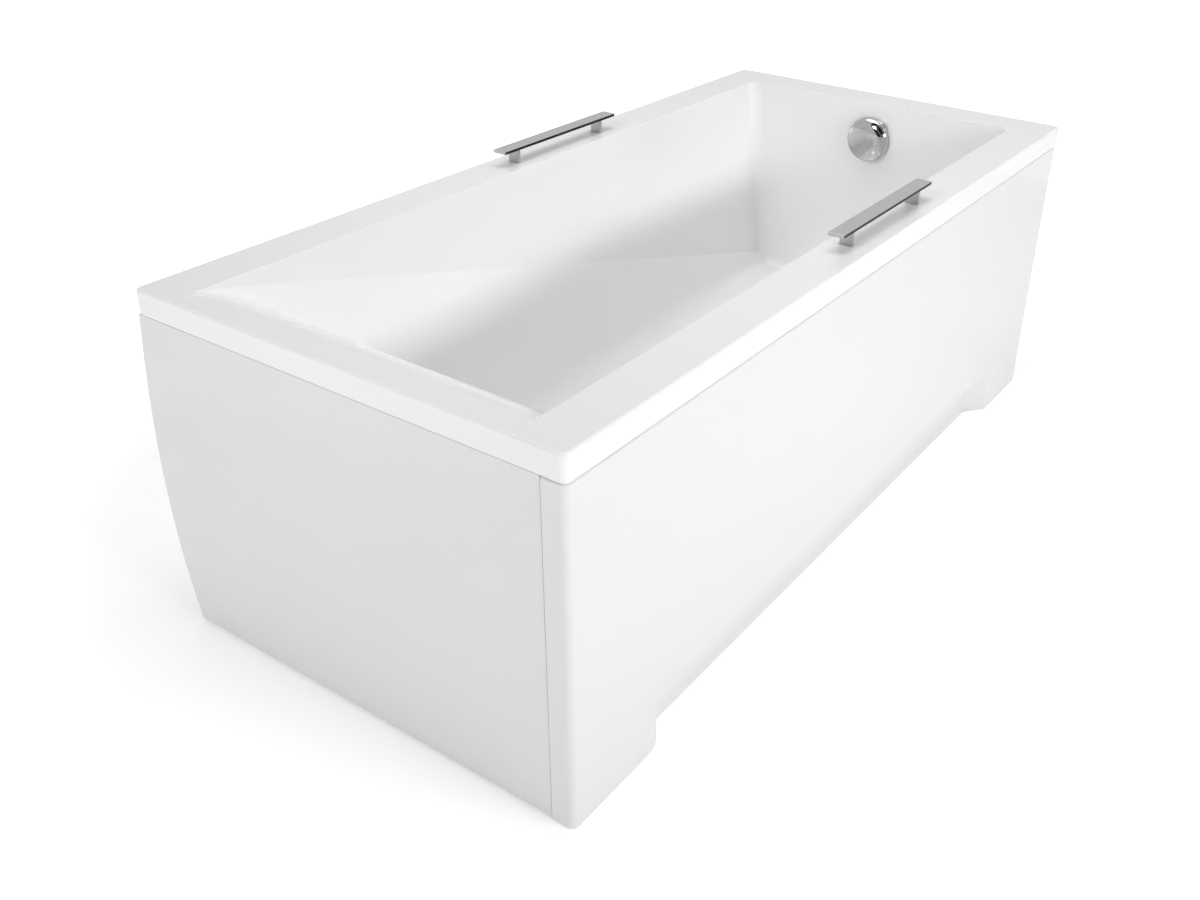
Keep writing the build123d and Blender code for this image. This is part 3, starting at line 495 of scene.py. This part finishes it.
def rounded_bar(name: str, low: Vector, high: Vector, edge: float, place: Matrix,
                steps: int = 4) -> bpy.types.Object:
    """Makes a bar with rounded edges between two corners.

    Args:
        name: name of the object.
        low: lowest corner.
        high: highest corner.
        edge: radius of its edges.
        place: where those corners are measured from.
        steps: faces round each edge.

    Returns:
        The object.
    """
    corners = [Vector((x, y, z)) for x in (low.x, high.x) for y in (low.y, high.y) for z in (low.z, high.z)]
    faces = [(0, 1, 3, 2), (4, 6, 7, 5), (0, 4, 5, 1), (2, 3, 7, 6), (0, 2, 6, 4), (1, 5, 7, 3)]
    bar = mesh_object(name, [place @ corner for corner in corners], faces)
    shape = bmesh.new()
    shape.from_mesh(bar.data)
    bmesh.ops.bevel(shape, geom=shape.edges[:], offset=edge, segments=steps, profile=0.5, affect="EDGES")
    shape.to_mesh(bar.data)
    shape.free()
    return bar


@dataclass
class BathMoulding:
    """The acrylic moulding: a flat rim with a skirt, and the basin with its sloping back."""

    head_x: float = -0.7435
    foot_x: float = 0.7565
    half_width: float = 0.35
    rim: float = 0.535
    wall: float = 0.005
    skirt: float = 0.035
    corner: float = 0.009
    corner_steps: int = 10
    edge: float = 0.004
    edge_steps: int = 8
    mouth: float = 0.003
    mouth_steps: int = 5
    mouth_bend: float = math.radians(40.0)
    mouth_margin: float = 0.050
    side_rim: float = 0.072
    foot_rim: float = 0.079
    head_rim: float = 0.020
    floor: float = 0.155
    floor_overlap: float = 0.017
    draft: float = 0.15
    lean: float = math.radians(2.0)
    lean_reach: float = 0.150
    foot_corner: float = 0.022
    foot_corner_steps: int = 12
    roll_angle: float = math.radians(4.0)
    roll: float = 0.150
    roll_steps: int = 48
    back_angle: float = math.radians(58.0)
    lap: float = 0.200
    lap_steps: int = 28
    shelf_step: float = 0.012
    floor_steps: int = 24
    facet_head_inset: float = 0.008
    facet_lap: float = 0.150
    facet_foot: float = 0.215
    facet_power: float = 0.8
    fillet: float = 0.100
    fillet_reach: float = 0.060
    softness: float = 0.03
    above: float = 0.020
    start_reach: float = 0.015
    waste_inset: float = 0.190
    recess: float = 0.037
    recess_depth: float = 0.0015
    waste_hole: float = 0.027
    waste_depth: float = 0.100
    overflow_drop: float = 0.069
    overflow_hole: float = 0.026
    slack: float = 0.001
    smooth_limit: float = 22.0

    def __post_init__(self) -> None:
        """Works out the places that follow from the sizes."""
        self.open_half = self.half_width - self.side_rim
        self.mouth_x = self.foot_x - self.foot_rim
        self.roll_x = self.head_x + self.head_rim
        self.start_x = self.roll_x - self.start_reach
        self.roll_cx = self.roll_x - self.roll * math.sin(self.roll_angle)
        self.roll_cz = self.rim - self.roll * math.cos(self.roll_angle)
        top_x = self.roll_cx + self.roll * math.sin(self.back_angle)
        top_z = self.roll_cz + self.roll * math.cos(self.back_angle)
        low_z = self.floor + self.lap * (1 - math.cos(self.back_angle))
        low_x = top_x + (top_z - low_z) / math.tan(self.back_angle)
        self.back_top_x, self.back_low_x = top_x, low_x
        self.lap_cx = low_x + self.lap * math.sin(self.back_angle)

    def overflow_place(self) -> Matrix:
        """Returns the place on the foot wall where the overflow's axis points into the basin."""
        x = self.mouth_x - self.overflow_drop * math.tan(self.lean)
        origin = Vector((x, 0, self.rim - self.overflow_drop))
        across = Vector((0, -1, 0))
        out = Vector((-math.cos(self.lean), 0, math.sin(self.lean)))
        turn = Matrix((across, out.cross(across), out)).transposed()
        return Matrix.Translation(origin) @ turn.to_4x4()

    def middle_line(self, x: float, offset: float = 0.0) -> float:
        """Height of the basin's middle line.

        Args:
            x: place along the bath.
            offset: distance outward from the inner face.

        Returns:
            The height.
        """
        roll, lap = self.roll - offset, self.lap + offset
        edge_x = self.roll_cx + roll * math.sin(self.roll_angle)
        if x <= edge_x:
            return self.roll_cz + roll * math.cos(self.roll_angle) + math.tan(self.roll_angle) * (edge_x - x)
        if x <= self.roll_cx + roll * math.sin(self.back_angle):
            return self.roll_cz + math.sqrt(roll**2 - (x - self.roll_cx) ** 2)
        if x <= self.lap_cx - lap * math.sin(self.back_angle):
            run = x - self.roll_cx - roll * math.sin(self.back_angle)
            return self.roll_cz + roll * math.cos(self.back_angle) - math.tan(self.back_angle) * run
        if x <= self.lap_cx:
            return self.floor + self.lap - math.sqrt(lap**2 - (self.lap_cx - x) ** 2)
        return self.floor - offset

    def side_line(self, z: float, offset: float = 0.0) -> float:
        """Half width between the upper side walls.

        Args:
            z: height.
            offset: distance outward from the inner face.

        Returns:
            The half width.
        """
        return self.open_half - (self.rim - z) * self.draft + offset * math.hypot(1, self.draft)

    def crease(self, x: float) -> float:
        """Height of the crease between the side wall and the lower facet.

        Args:
            x: place along the bath.

        Returns:
            The height.
        """
        share = (x - self.start_x) / (self.mouth_x - self.start_x)
        soft = math.hypot(share, self.softness) - self.softness
        fall = soft / (math.hypot(1, self.softness) - self.softness)
        top = self.rim + self.mouth
        return top - (top - self.floor - self.floor_overlap) * fall

    def on_crease(self, point: Vector, near: float = 0.0004) -> bool:
        """Says whether a point of the inner face lies on the crease.

        Args:
            point: the point.
            near: largest distance from the crease.

        Returns:
            Whether it does.
        """
        level = abs(point.z - self.crease(point.x)) < near and point.z < self.rim - near
        return level and abs(abs(point.y) - self.side_line(point.z)) < near

    def facet(self, x: float) -> float:
        """Half width at which the lower facet meets the middle line's height.

        Args:
            x: place along the bath.

        Returns:
            The half width.
        """
        if x >= self.lap_cx:
            share = (x - self.lap_cx) / (self.mouth_x - self.lap_cx)
            return self.facet_lap + (self.facet_foot - self.facet_lap) * share
        share = (self.middle_line(x) - self.floor) / (self.rim - self.floor)
        head = self.open_half - self.facet_head_inset
        return self.facet_lap + (head - self.facet_lap) * share**self.facet_power

    def half_section(self, x: float, offset: float, arc_steps: int = 14) -> list[Point]:
        """Right half of the basin's section, from above the rim down to the floor.

        Args:
            x: place along the bath.
            offset: distance outward from the inner face.
            arc_steps: steps round the fillet beside the floor.

        Returns:
            Points as (y, z).
        """
        edge = (self.side_line(self.crease(x)), self.crease(x))
        foot = (self.facet(x), self.middle_line(x))
        slant = math.hypot(edge[0] - foot[0], edge[1] - foot[1])
        along = ((foot[0] - edge[0]) / slant, (foot[1] - edge[1]) / slant)
        moved = (edge[0] - along[1] * offset, edge[1] + along[0] * offset)
        reach = (self.side_line(moved[1], offset) - moved[0]) / (along[0] - self.draft * along[1])
        edge = (moved[0] + reach * along[0], moved[1] + reach * along[1])
        low = self.middle_line(x, offset)
        reach = (low - edge[1]) / along[1]
        foot = (edge[0] + reach * along[0], low)
        radius = self.fillet * slant / (slant + self.fillet_reach) + offset
        turn = math.atan2(-along[1], -along[0])
        tangent = radius * math.tan(turn / 2)
        centre = (foot[0] - tangent, low + radius)
        top = self.rim + self.above
        points = [(self.side_line(top, offset), top), edge]
        for step in range(arc_steps + 1):
            angle = turn * (1 - step / arc_steps)
            points.append((centre[0] + radius * math.sin(angle), centre[1] - radius * math.cos(angle)))
        return points

    def stations(self, end: float, corner: float) -> list[tuple[float, float]]:
        """Places along the bath of the sections.

        Args:
            end: where the foot wall stands at rim height.
            corner: radius round the foot wall.

        Returns:
            Pairs of place and inset of the section there.
        """
        places = [self.start_x]
        for centre, radius, first, last, count in (
            (self.roll_cx, self.roll, self.roll_angle, self.back_angle, self.roll_steps),
            (self.lap_cx, self.lap, -self.back_angle, 0.0, self.lap_steps),
        ):
            turns = [first + (last - first) * i / count for i in range(count + 1)]
            bend = [centre + radius * math.sin(turn) for turn in turns]
            gap = bend[0] - places[-1]
            extra = int(gap / self.shelf_step)
            places += [places[-1] + gap * (i + 1) / (extra + 1) for i in range(extra)] + bend
        straight = end - corner - places[-1]
        places += [places[-1] + straight * (i + 1) / self.floor_steps for i in range(self.floor_steps)]
        pairs = [(place, 0.0) for place in places]
        for i in range(1, self.foot_corner_steps + 1):
            turn = math.pi / 2 * i / self.foot_corner_steps
            pairs.append((end - corner + corner * math.sin(turn), corner * (1 - math.cos(turn))))
        return pairs

    def basin(self, name: str, offset: float, corner: float) -> bpy.types.Object:
        """Makes the closed space of the basin.

        Args:
            name: name of the object.
            offset: distance outward from the inner face.
            corner: radius round the foot wall.

        Returns:
            The object.
        """
        end = self.mouth_x + offset / math.cos(self.lean)
        points, rows = [], []
        for x, inset in self.stations(end, corner):
            blend = min(1.0, max(0.0, 1 - (end - x) / self.lean_reach))
            slope = math.tan(self.lean) * blend
            seen_x = x - slope * (self.rim - self.crease(x))
            half = self.half_section(seen_x, offset - inset)
            ring = half + [(-y, z) for y, z in reversed(half)]
            rows.append(range(len(points), len(points) + len(ring)))
            points += [(x - slope * (self.rim - z), y, z) for y, z in ring]
        faces = [list(rows[0]), list(reversed(rows[-1]))]
        count = len(rows[0])
        for here, after in zip(rows, rows[1:]):
            for i in range(count):
                j = (i + 1) % count
                faces.append((here[i], here[j], after[j], after[i]))
        return mesh_object(name, points, faces)

    def outline(self, inset: float, radius: float, z: float) -> list[tuple[float, float, float]]:
        """Rounded rectangle of the rim.

        Args:
            inset: distance in from the rim's outside.
            radius: radius of its corners.
            z: height.

        Returns:
            The points, one way round.
        """
        x0, x1, y1 = self.head_x + inset, self.foot_x - inset, self.half_width - inset
        corners = [(x1 - radius, y1 - radius, 0), (x0 + radius, y1 - radius, 90),
                   (x0 + radius, -y1 + radius, 180), (x1 - radius, -y1 + radius, 270)]
        points = []
        for cx, cy, start in corners:
            for step in range(self.corner_steps + 1):
                angle = math.radians(start + 90 * step / self.corner_steps)
                points.append((cx + radius * math.cos(angle), cy + radius * math.sin(angle), z))
        return points

    def rim_block(self) -> bpy.types.Object:
        """Makes the rim with its rounded outer edge and its open skirt.

        Returns:
            The closed object.
        """
        low, under = self.rim - self.skirt, self.rim - self.wall
        rings = [self.outline(self.wall, self.corner - self.wall, under)]
        rings += [self.outline(self.wall, self.corner - self.wall, low), self.outline(0, self.corner, low)]
        for step in range(self.edge_steps + 1):
            turn = math.pi / 2 * step / self.edge_steps
            inset = self.edge * (1 - math.cos(turn))
            height = self.rim - self.edge * (1 - math.sin(turn))
            rings.append(self.outline(inset, self.corner - inset, height))
        points = [point for ring in rings for point in ring]
        count = len(rings[0])
        faces = [list(range(count)), list(range(len(points) - count, len(points)))]
        for ring in range(len(rings) - 1):
            for i in range(count):
                j = (i + 1) % count
                low_ring, high_ring = ring * count, (ring + 1) * count
                faces.append((low_ring + i, low_ring + j, high_ring + j, high_ring + i))
        return mesh_object("bath_moulding", points, faces)

    def soften_mouth(self, piece: bpy.types.Object) -> None:
        """Rounds the edge where the rim turns down into the basin.

        Args:
            piece: the moulding.
        """
        shape = bmesh.new()
        shape.from_mesh(piece.data)
        bmesh.ops.remove_doubles(shape, verts=shape.verts, dist=CLOSE)
        limit_x, limit_y = self.foot_x - self.mouth_margin, self.half_width - self.mouth_margin
        chosen = []
        for line in shape.edges:
            ends = [corner.co for corner in line.verts]
            level = all(abs(end.z - self.rim) < 1e-5 for end in ends)
            inside = all(abs(end.y) < limit_y and end.x < limit_x for end in ends)
            if level and inside and len(line.link_faces) == 2 and line.calc_face_angle() > self.mouth_bend:
                chosen.append(line)
        bmesh.ops.bevel(shape, geom=chosen, offset=self.mouth, segments=self.mouth_steps, profile=0.5,
                        affect="EDGES", clamp_overlap=True)
        shape.to_mesh(piece.data)
        shape.free()

    def build(self) -> bpy.types.Object:
        """Makes the whole moulding.

        Returns:
            The object, riding on the bath.
        """
        piece = self.rim_block()
        outer = self.basin("outer", self.wall, self.wall)
        slack = self.slack
        low = Vector((self.head_x + slack, -self.half_width + slack, 0.0))
        high = Vector((self.foot_x - slack, self.half_width - slack, self.rim - self.wall / 2))
        block = rounded_bar("keep", low, high, slack / 10, Matrix.Identity(4))
        carve(outer, block, Cut.KEEP_SHARED)
        carve(piece, outer, Cut.JOIN)
        carve(piece, self.basin("inner", 0.0, self.foot_corner), Cut.REMOVE)
        waste = Matrix.Translation((self.foot_x - self.waste_inset, 0, 0))
        top, deep = self.floor + self.wall, 2 * self.wall
        for name, radius, low, high, place in (
            ("recess", self.recess, self.floor - self.recess_depth, top, waste),
            ("drain", self.waste_hole, self.waste_depth, top, waste),
            ("overflow", self.overflow_hole, -deep, deep, self.overflow_place()),
        ):
            hole = [(0, low), (radius, low), (radius, high), (0, high)]
            carve(piece, turned(name, hole, place), Cut.REMOVE)
        self.soften_mouth(piece)
        polish(piece, self.smooth_limit, self.on_crease)
        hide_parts("bath_shell")
        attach(piece, "bath")
        return piece


@dataclass
class OverflowKnob:
    """The round chromed knob on the foot wall, with the lug that a finger turns."""

    radius: float = 0.043
    standoff: float = 0.006
    side: float = 0.015
    dome: float = 0.007
    fullness: float = 2.6
    skin: float = 0.003
    lip: float = 0.0006
    boss: float = 0.010
    lug_angle: float = math.radians(45.0)
    lug_width: float = 0.013
    lug_reach: float = 0.004
    lug_depth: float = 0.009
    lug_edge: float = 0.002
    steps: int = 32
    smooth_limit: float = 40.0

    def profile(self) -> list[Point]:
        """Outline of the hollow dome.

        Returns:
            Points as (radius, height), from the middle of the dome to the middle of the hollow.
        """
        shoulder = self.standoff + self.side / 2
        rise = self.side / 2 + self.dome
        points = [(self.radius - self.lip, self.standoff), (self.radius, self.standoff + self.lip)]
        for step in range(self.steps + 1):
            turn = math.pi / 2 * step / self.steps
            share = 0.0 if step == self.steps else math.cos(turn) ** (2 / self.fullness)
            points.append((self.radius * share, shoulder + rise * math.sin(turn)))
        deep = self.standoff + self.side - self.skin
        inside = self.radius - self.skin
        hollow = [(0, self.standoff), (self.boss, self.standoff), (self.boss, deep), (inside, deep)]
        return points + hollow + [(inside, self.standoff)]

    def build(self, place: Matrix) -> list[bpy.types.Object]:
        """Makes the knob and its lug.

        Args:
            place: the overflow's place.

        Returns:
            The objects, riding on the knob's body.
        """
        dome = turned("knob_dome", self.profile(), place)
        half = self.lug_width / 2
        spin = place @ Matrix.Rotation(self.lug_angle, 4, "Z")
        lug = rounded_bar("knob_lug", Vector((self.radius - self.lug_width, -half, self.standoff)),
                          Vector((self.radius + self.lug_reach, half, self.standoff + self.lug_depth)),
                          self.lug_edge, spin)
        for piece in (dome, lug):
            polish(piece, self.smooth_limit)
            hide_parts("overflow_knob")
            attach(piece, "knob")
        return [dome, lug]


@dataclass
class GrabHandle:
    """The flat bar of a grab handle, with its rounded edges."""

    side: str
    edge: float = 0.0006
    smooth_limit: float = 50.0

    def build(self) -> bpy.types.Object:
        """Makes the bar in the place of the plain one.

        Returns:
            The object, riding on the bath.
        """
        node = f"handle_bar_{self.side}"
        low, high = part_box(node)
        bar = rounded_bar(f"grab_bar_{self.side}", low, high, self.edge, Matrix.Identity(4))
        polish(bar, self.smooth_limit)
        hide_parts(node)
        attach(bar, "bath")
        return bar


@dataclass(frozen=True)
class Lamp:
    """One soft light, as its place, size and power."""

    name: str
    place: Place
    size: tuple[float, float]
    watts: float
    mirrored: bool = True
    target: Place = (0.0, 0.0, 0.3)
    spread: float = math.radians(180.0)

    def build(self) -> None:
        """Hangs the light, pointed at its target."""
        data = bpy.data.lights.new(self.name, "AREA")
        data.shape = "RECTANGLE"
        data.size, data.size_y = self.size
        data.energy = self.watts
        data.spread = self.spread
        light = bpy.data.objects.new(self.name, data)
        light.location = self.place
        light.rotation_euler = (Vector(self.target) - Vector(self.place)).to_track_quat("-Z", "Y").to_euler()
        light.visible_glossy = self.mirrored
        bpy.context.scene.collection.objects.link(light)


@dataclass
class Studio:
    """The pale floor, the soft lights and the camera."""

    eye: Place = (-1.5599, -1.0155, 1.1684)
    yaw: float = math.radians(33.16)
    pitch: float = math.radians(30.07)
    roll: float = math.radians(1.63)
    lens: float = 36.67
    shift: tuple[float, float] = (-0.0633, -0.0117)
    sensor: float = 36.0
    nearest: float = 0.05
    floor_half: float = 12.0
    floor_drop: float = 0.002
    sheet_x: tuple[float, float] = (-1.33, 2.08)
    sheet_y: tuple[float, float] = (-3.0, 1.04)
    sheet_glow: float = 0.11
    floor_glow: float = 0.30
    seen_glow: float = 0.22
    far_glow: float = 0.5
    far_from: tuple[float, float] = (0.95, 1.6)
    mirror_stops: tuple[Point, ...] = ((0.0, 0.68), (0.76, 0.68), (0.80, 0.03), (0.93, 0.02), (0.94, 0.75),
                                       (0.955, 0.02))
    around: tuple[float, float, float, float] = (0.30, 0.30, 0.301, 1.0)
    lamps: tuple[Lamp, ...] = (
        Lamp("key", (-0.2, -3.6, 1.70), (2.6, 0.5), 69.0),
        Lamp("overhead", (0.2, 0.2, 3.4), (3.0, 2.0), 46.0),
        Lamp("head_fill", (-3.4, 0.6, 0.35), (1.8, 0.8), 24.0, mirrored=False),
        Lamp("foot_spot", (-2.2, 0.0, 2.0), (0.5, 0.5), 0.8, target=(0.68, 0.0, 0.42),
             spread=math.radians(34.0)),
    )

    def camera(self) -> None:
        """Places the camera at the photograph's angle."""
        ahead = Vector((math.cos(self.pitch) * math.cos(self.yaw), math.cos(self.pitch) * math.sin(self.yaw),
                        -math.sin(self.pitch)))
        right = ahead.cross(Vector((0, 0, 1))).normalized()
        up = right.cross(ahead)
        c, s = math.cos(self.roll), math.sin(self.roll)
        turn = Matrix((c * right + s * up, -s * right + c * up, -ahead)).transposed()
        data = bpy.data.cameras.new("camera")
        data.sensor_width = self.sensor
        data.lens = self.lens
        data.shift_x, data.shift_y = self.shift
        data.clip_start = self.nearest
        camera = bpy.data.objects.new("camera", data)
        camera.matrix_world = Matrix.Translation(self.eye) @ turn.to_4x4()
        bpy.context.scene.collection.objects.link(camera)
        bpy.context.scene.camera = camera

    def floor(self, effects: Effects) -> None:
        """Lays the pale floor.

        Args:
            effects: the shared node groups.
        """
        reach = self.floor_half
        for name, x0, x1, y0, y1, z, glow in (
            ("studio_sheet", *self.sheet_x, *self.sheet_y, 0.0, self.sheet_glow),
            ("studio_floor", -reach, reach, -reach, reach, -self.floor_drop, self.floor_glow),
        ):
            floor = mesh_object(name, [(x0, y0, z), (x1, y0, z), (x1, y1, z), (x0, y1, z)], [(0, 1, 2, 3)])
            tone = Finish(f"{name}_white", (0.98, 0.98, 0.98), (0.96, 0.96, 0.96), 0.7, 0.8, tone_scale=1.0)
            material = tone.build(effects)
            nodes, links = material.node_tree.nodes, material.node_tree.links
            path = nodes.new("ShaderNodeLightPath")
            level = nodes.new("ShaderNodeMapRange")
            level.inputs["To Min"].default_value = glow
            level.inputs["To Max"].default_value = glow + self.seen_glow
            links.new(path.outputs["Is Camera Ray"], level.inputs["Value"])
            place = nodes.new("ShaderNodeTexCoord")
            away = nodes.new("ShaderNodeVectorMath")
            away.operation = "LENGTH"
            links.new(place.outputs["Object"], away.inputs[0])
            far = nodes.new("ShaderNodeMapRange")
            far.inputs["From Min"].default_value, far.inputs["From Max"].default_value = self.far_from
            far.inputs["To Max"].default_value = self.far_glow
            links.new(away.outputs["Value"], far.inputs["Value"])
            total = nodes.new("ShaderNodeMath")
            total.operation = "MULTIPLY_ADD"
            links.new(far.outputs["Result"], total.inputs[0])
            links.new(path.outputs["Is Camera Ray"], total.inputs[1])
            links.new(level.outputs["Result"], total.inputs[2])
            links.new(total.outputs[0], nodes["Principled BSDF"].inputs["Emission Strength"])
            floor.data.materials.append(material)

    def world(self) -> None:
        """Makes a white surround, in which bright surfaces see a dark patch on the photographer's side."""
        world = bpy.data.worlds.new("surround")
        world.use_nodes = True
        nodes, links = world.node_tree.nodes, world.node_tree.links
        back = nodes["Background"]
        place = nodes.new("ShaderNodeTexCoord")
        toward = nodes.new("ShaderNodeVectorMath")
        toward.operation = "DOT_PRODUCT"
        toward.inputs[1].default_value = Vector(self.eye).normalized()
        ramp = nodes.new("ShaderNodeValToRGB")
        while len(ramp.color_ramp.elements) < len(self.mirror_stops):
            ramp.color_ramp.elements.new(0.5)
        for element, (spot, level) in zip(ramp.color_ramp.elements, self.mirror_stops):
            element.position = spot
            element.color = (level, level, level, 1.0)
        path = nodes.new("ShaderNodeLightPath")
        plain = nodes.new("ShaderNodeMix")
        plain.data_type = "RGBA"
        plain.inputs["A"].default_value = self.around
        seen = nodes.new("ShaderNodeMix")
        seen.data_type = "RGBA"
        seen.inputs["B"].default_value = WHITE
        links.new(place.outputs["Generated"], toward.inputs[0])
        links.new(toward.outputs["Value"], ramp.inputs["Fac"])
        links.new(path.outputs["Is Glossy Ray"], plain.inputs["Factor"])
        links.new(ramp.outputs["Color"], plain.inputs["B"])
        links.new(path.outputs["Is Camera Ray"], seen.inputs["Factor"])
        links.new(plain.outputs["Result"], seen.inputs["A"])
        links.new(seen.outputs["Result"], back.inputs["Color"])
        bpy.context.scene.world = world

    def build(self, effects: Effects) -> None:
        """Sets up the whole studio.

        Args:
            effects: the shared node groups.
        """
        self.camera()
        self.floor(effects)
        self.world()
        bpy.context.scene.view_settings.view_transform = "Standard"
        for lamp in self.lamps:
            lamp.build()


def dress(piece: bpy.types.Object, material: bpy.types.Material) -> None:
    """Gives a piece its material.

    Args:
        piece: the object.
        material: its finish.
    """
    piece.data.materials.clear()
    piece.data.materials.append(material)
    log.info("%s in %s", piece.name, material.name)


def smooth_copy(name: str, degrees: float) -> bpy.types.Object:
    """Makes a smoothly shaded copy of a plain node, in its place.

    Args:
        name: name of the node.
        degrees: edges that turn more than this stay sharp.

    Returns:
        The copy, riding on the node's body.
    """
    node = frame["nodes"][name]
    piece = bpy.data.objects.new(f"{name}_piece", node.data.copy())
    bpy.context.scene.collection.objects.link(piece)
    polish(piece, degrees)
    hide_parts(name)
    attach(piece, node["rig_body"])
    return piece


def main() -> None:
    """Builds the bath, dresses every piece and sets up the studio."""
    logging.basicConfig(level=logging.INFO, format="%(name)s: %(message)s")
    drift, flakes = make_pattern_group(Pattern.DRIFT), make_pattern_group(Pattern.FLAKES)
    effects = Effects(drift, flakes, make_relief_group(), make_painted_reflection_group())
    materials = {name: finish.build(effects) for name, finish in FINISHES.items()}
    moulding = BathMoulding()
    dress(moulding.build(), materials["acrylic"])
    for piece in OverflowKnob().build(moulding.overflow_place()):
        dress(piece, materials["chrome"])
    for side in ("front", "back"):
        dress(GrabHandle(side).build(), materials["brushed"])
    for finish, names in NODES_BY_FINISH.items():
        for name in names.split():
            limit = SMOOTH_LIMITS.get(name)
            piece = smooth_copy(name, limit) if limit else frame["nodes"][name]
            dress(piece, materials[finish])
    Studio().build(effects)
    bpy.context.view_layer.update()


if __name__ == "__main__":
    main()
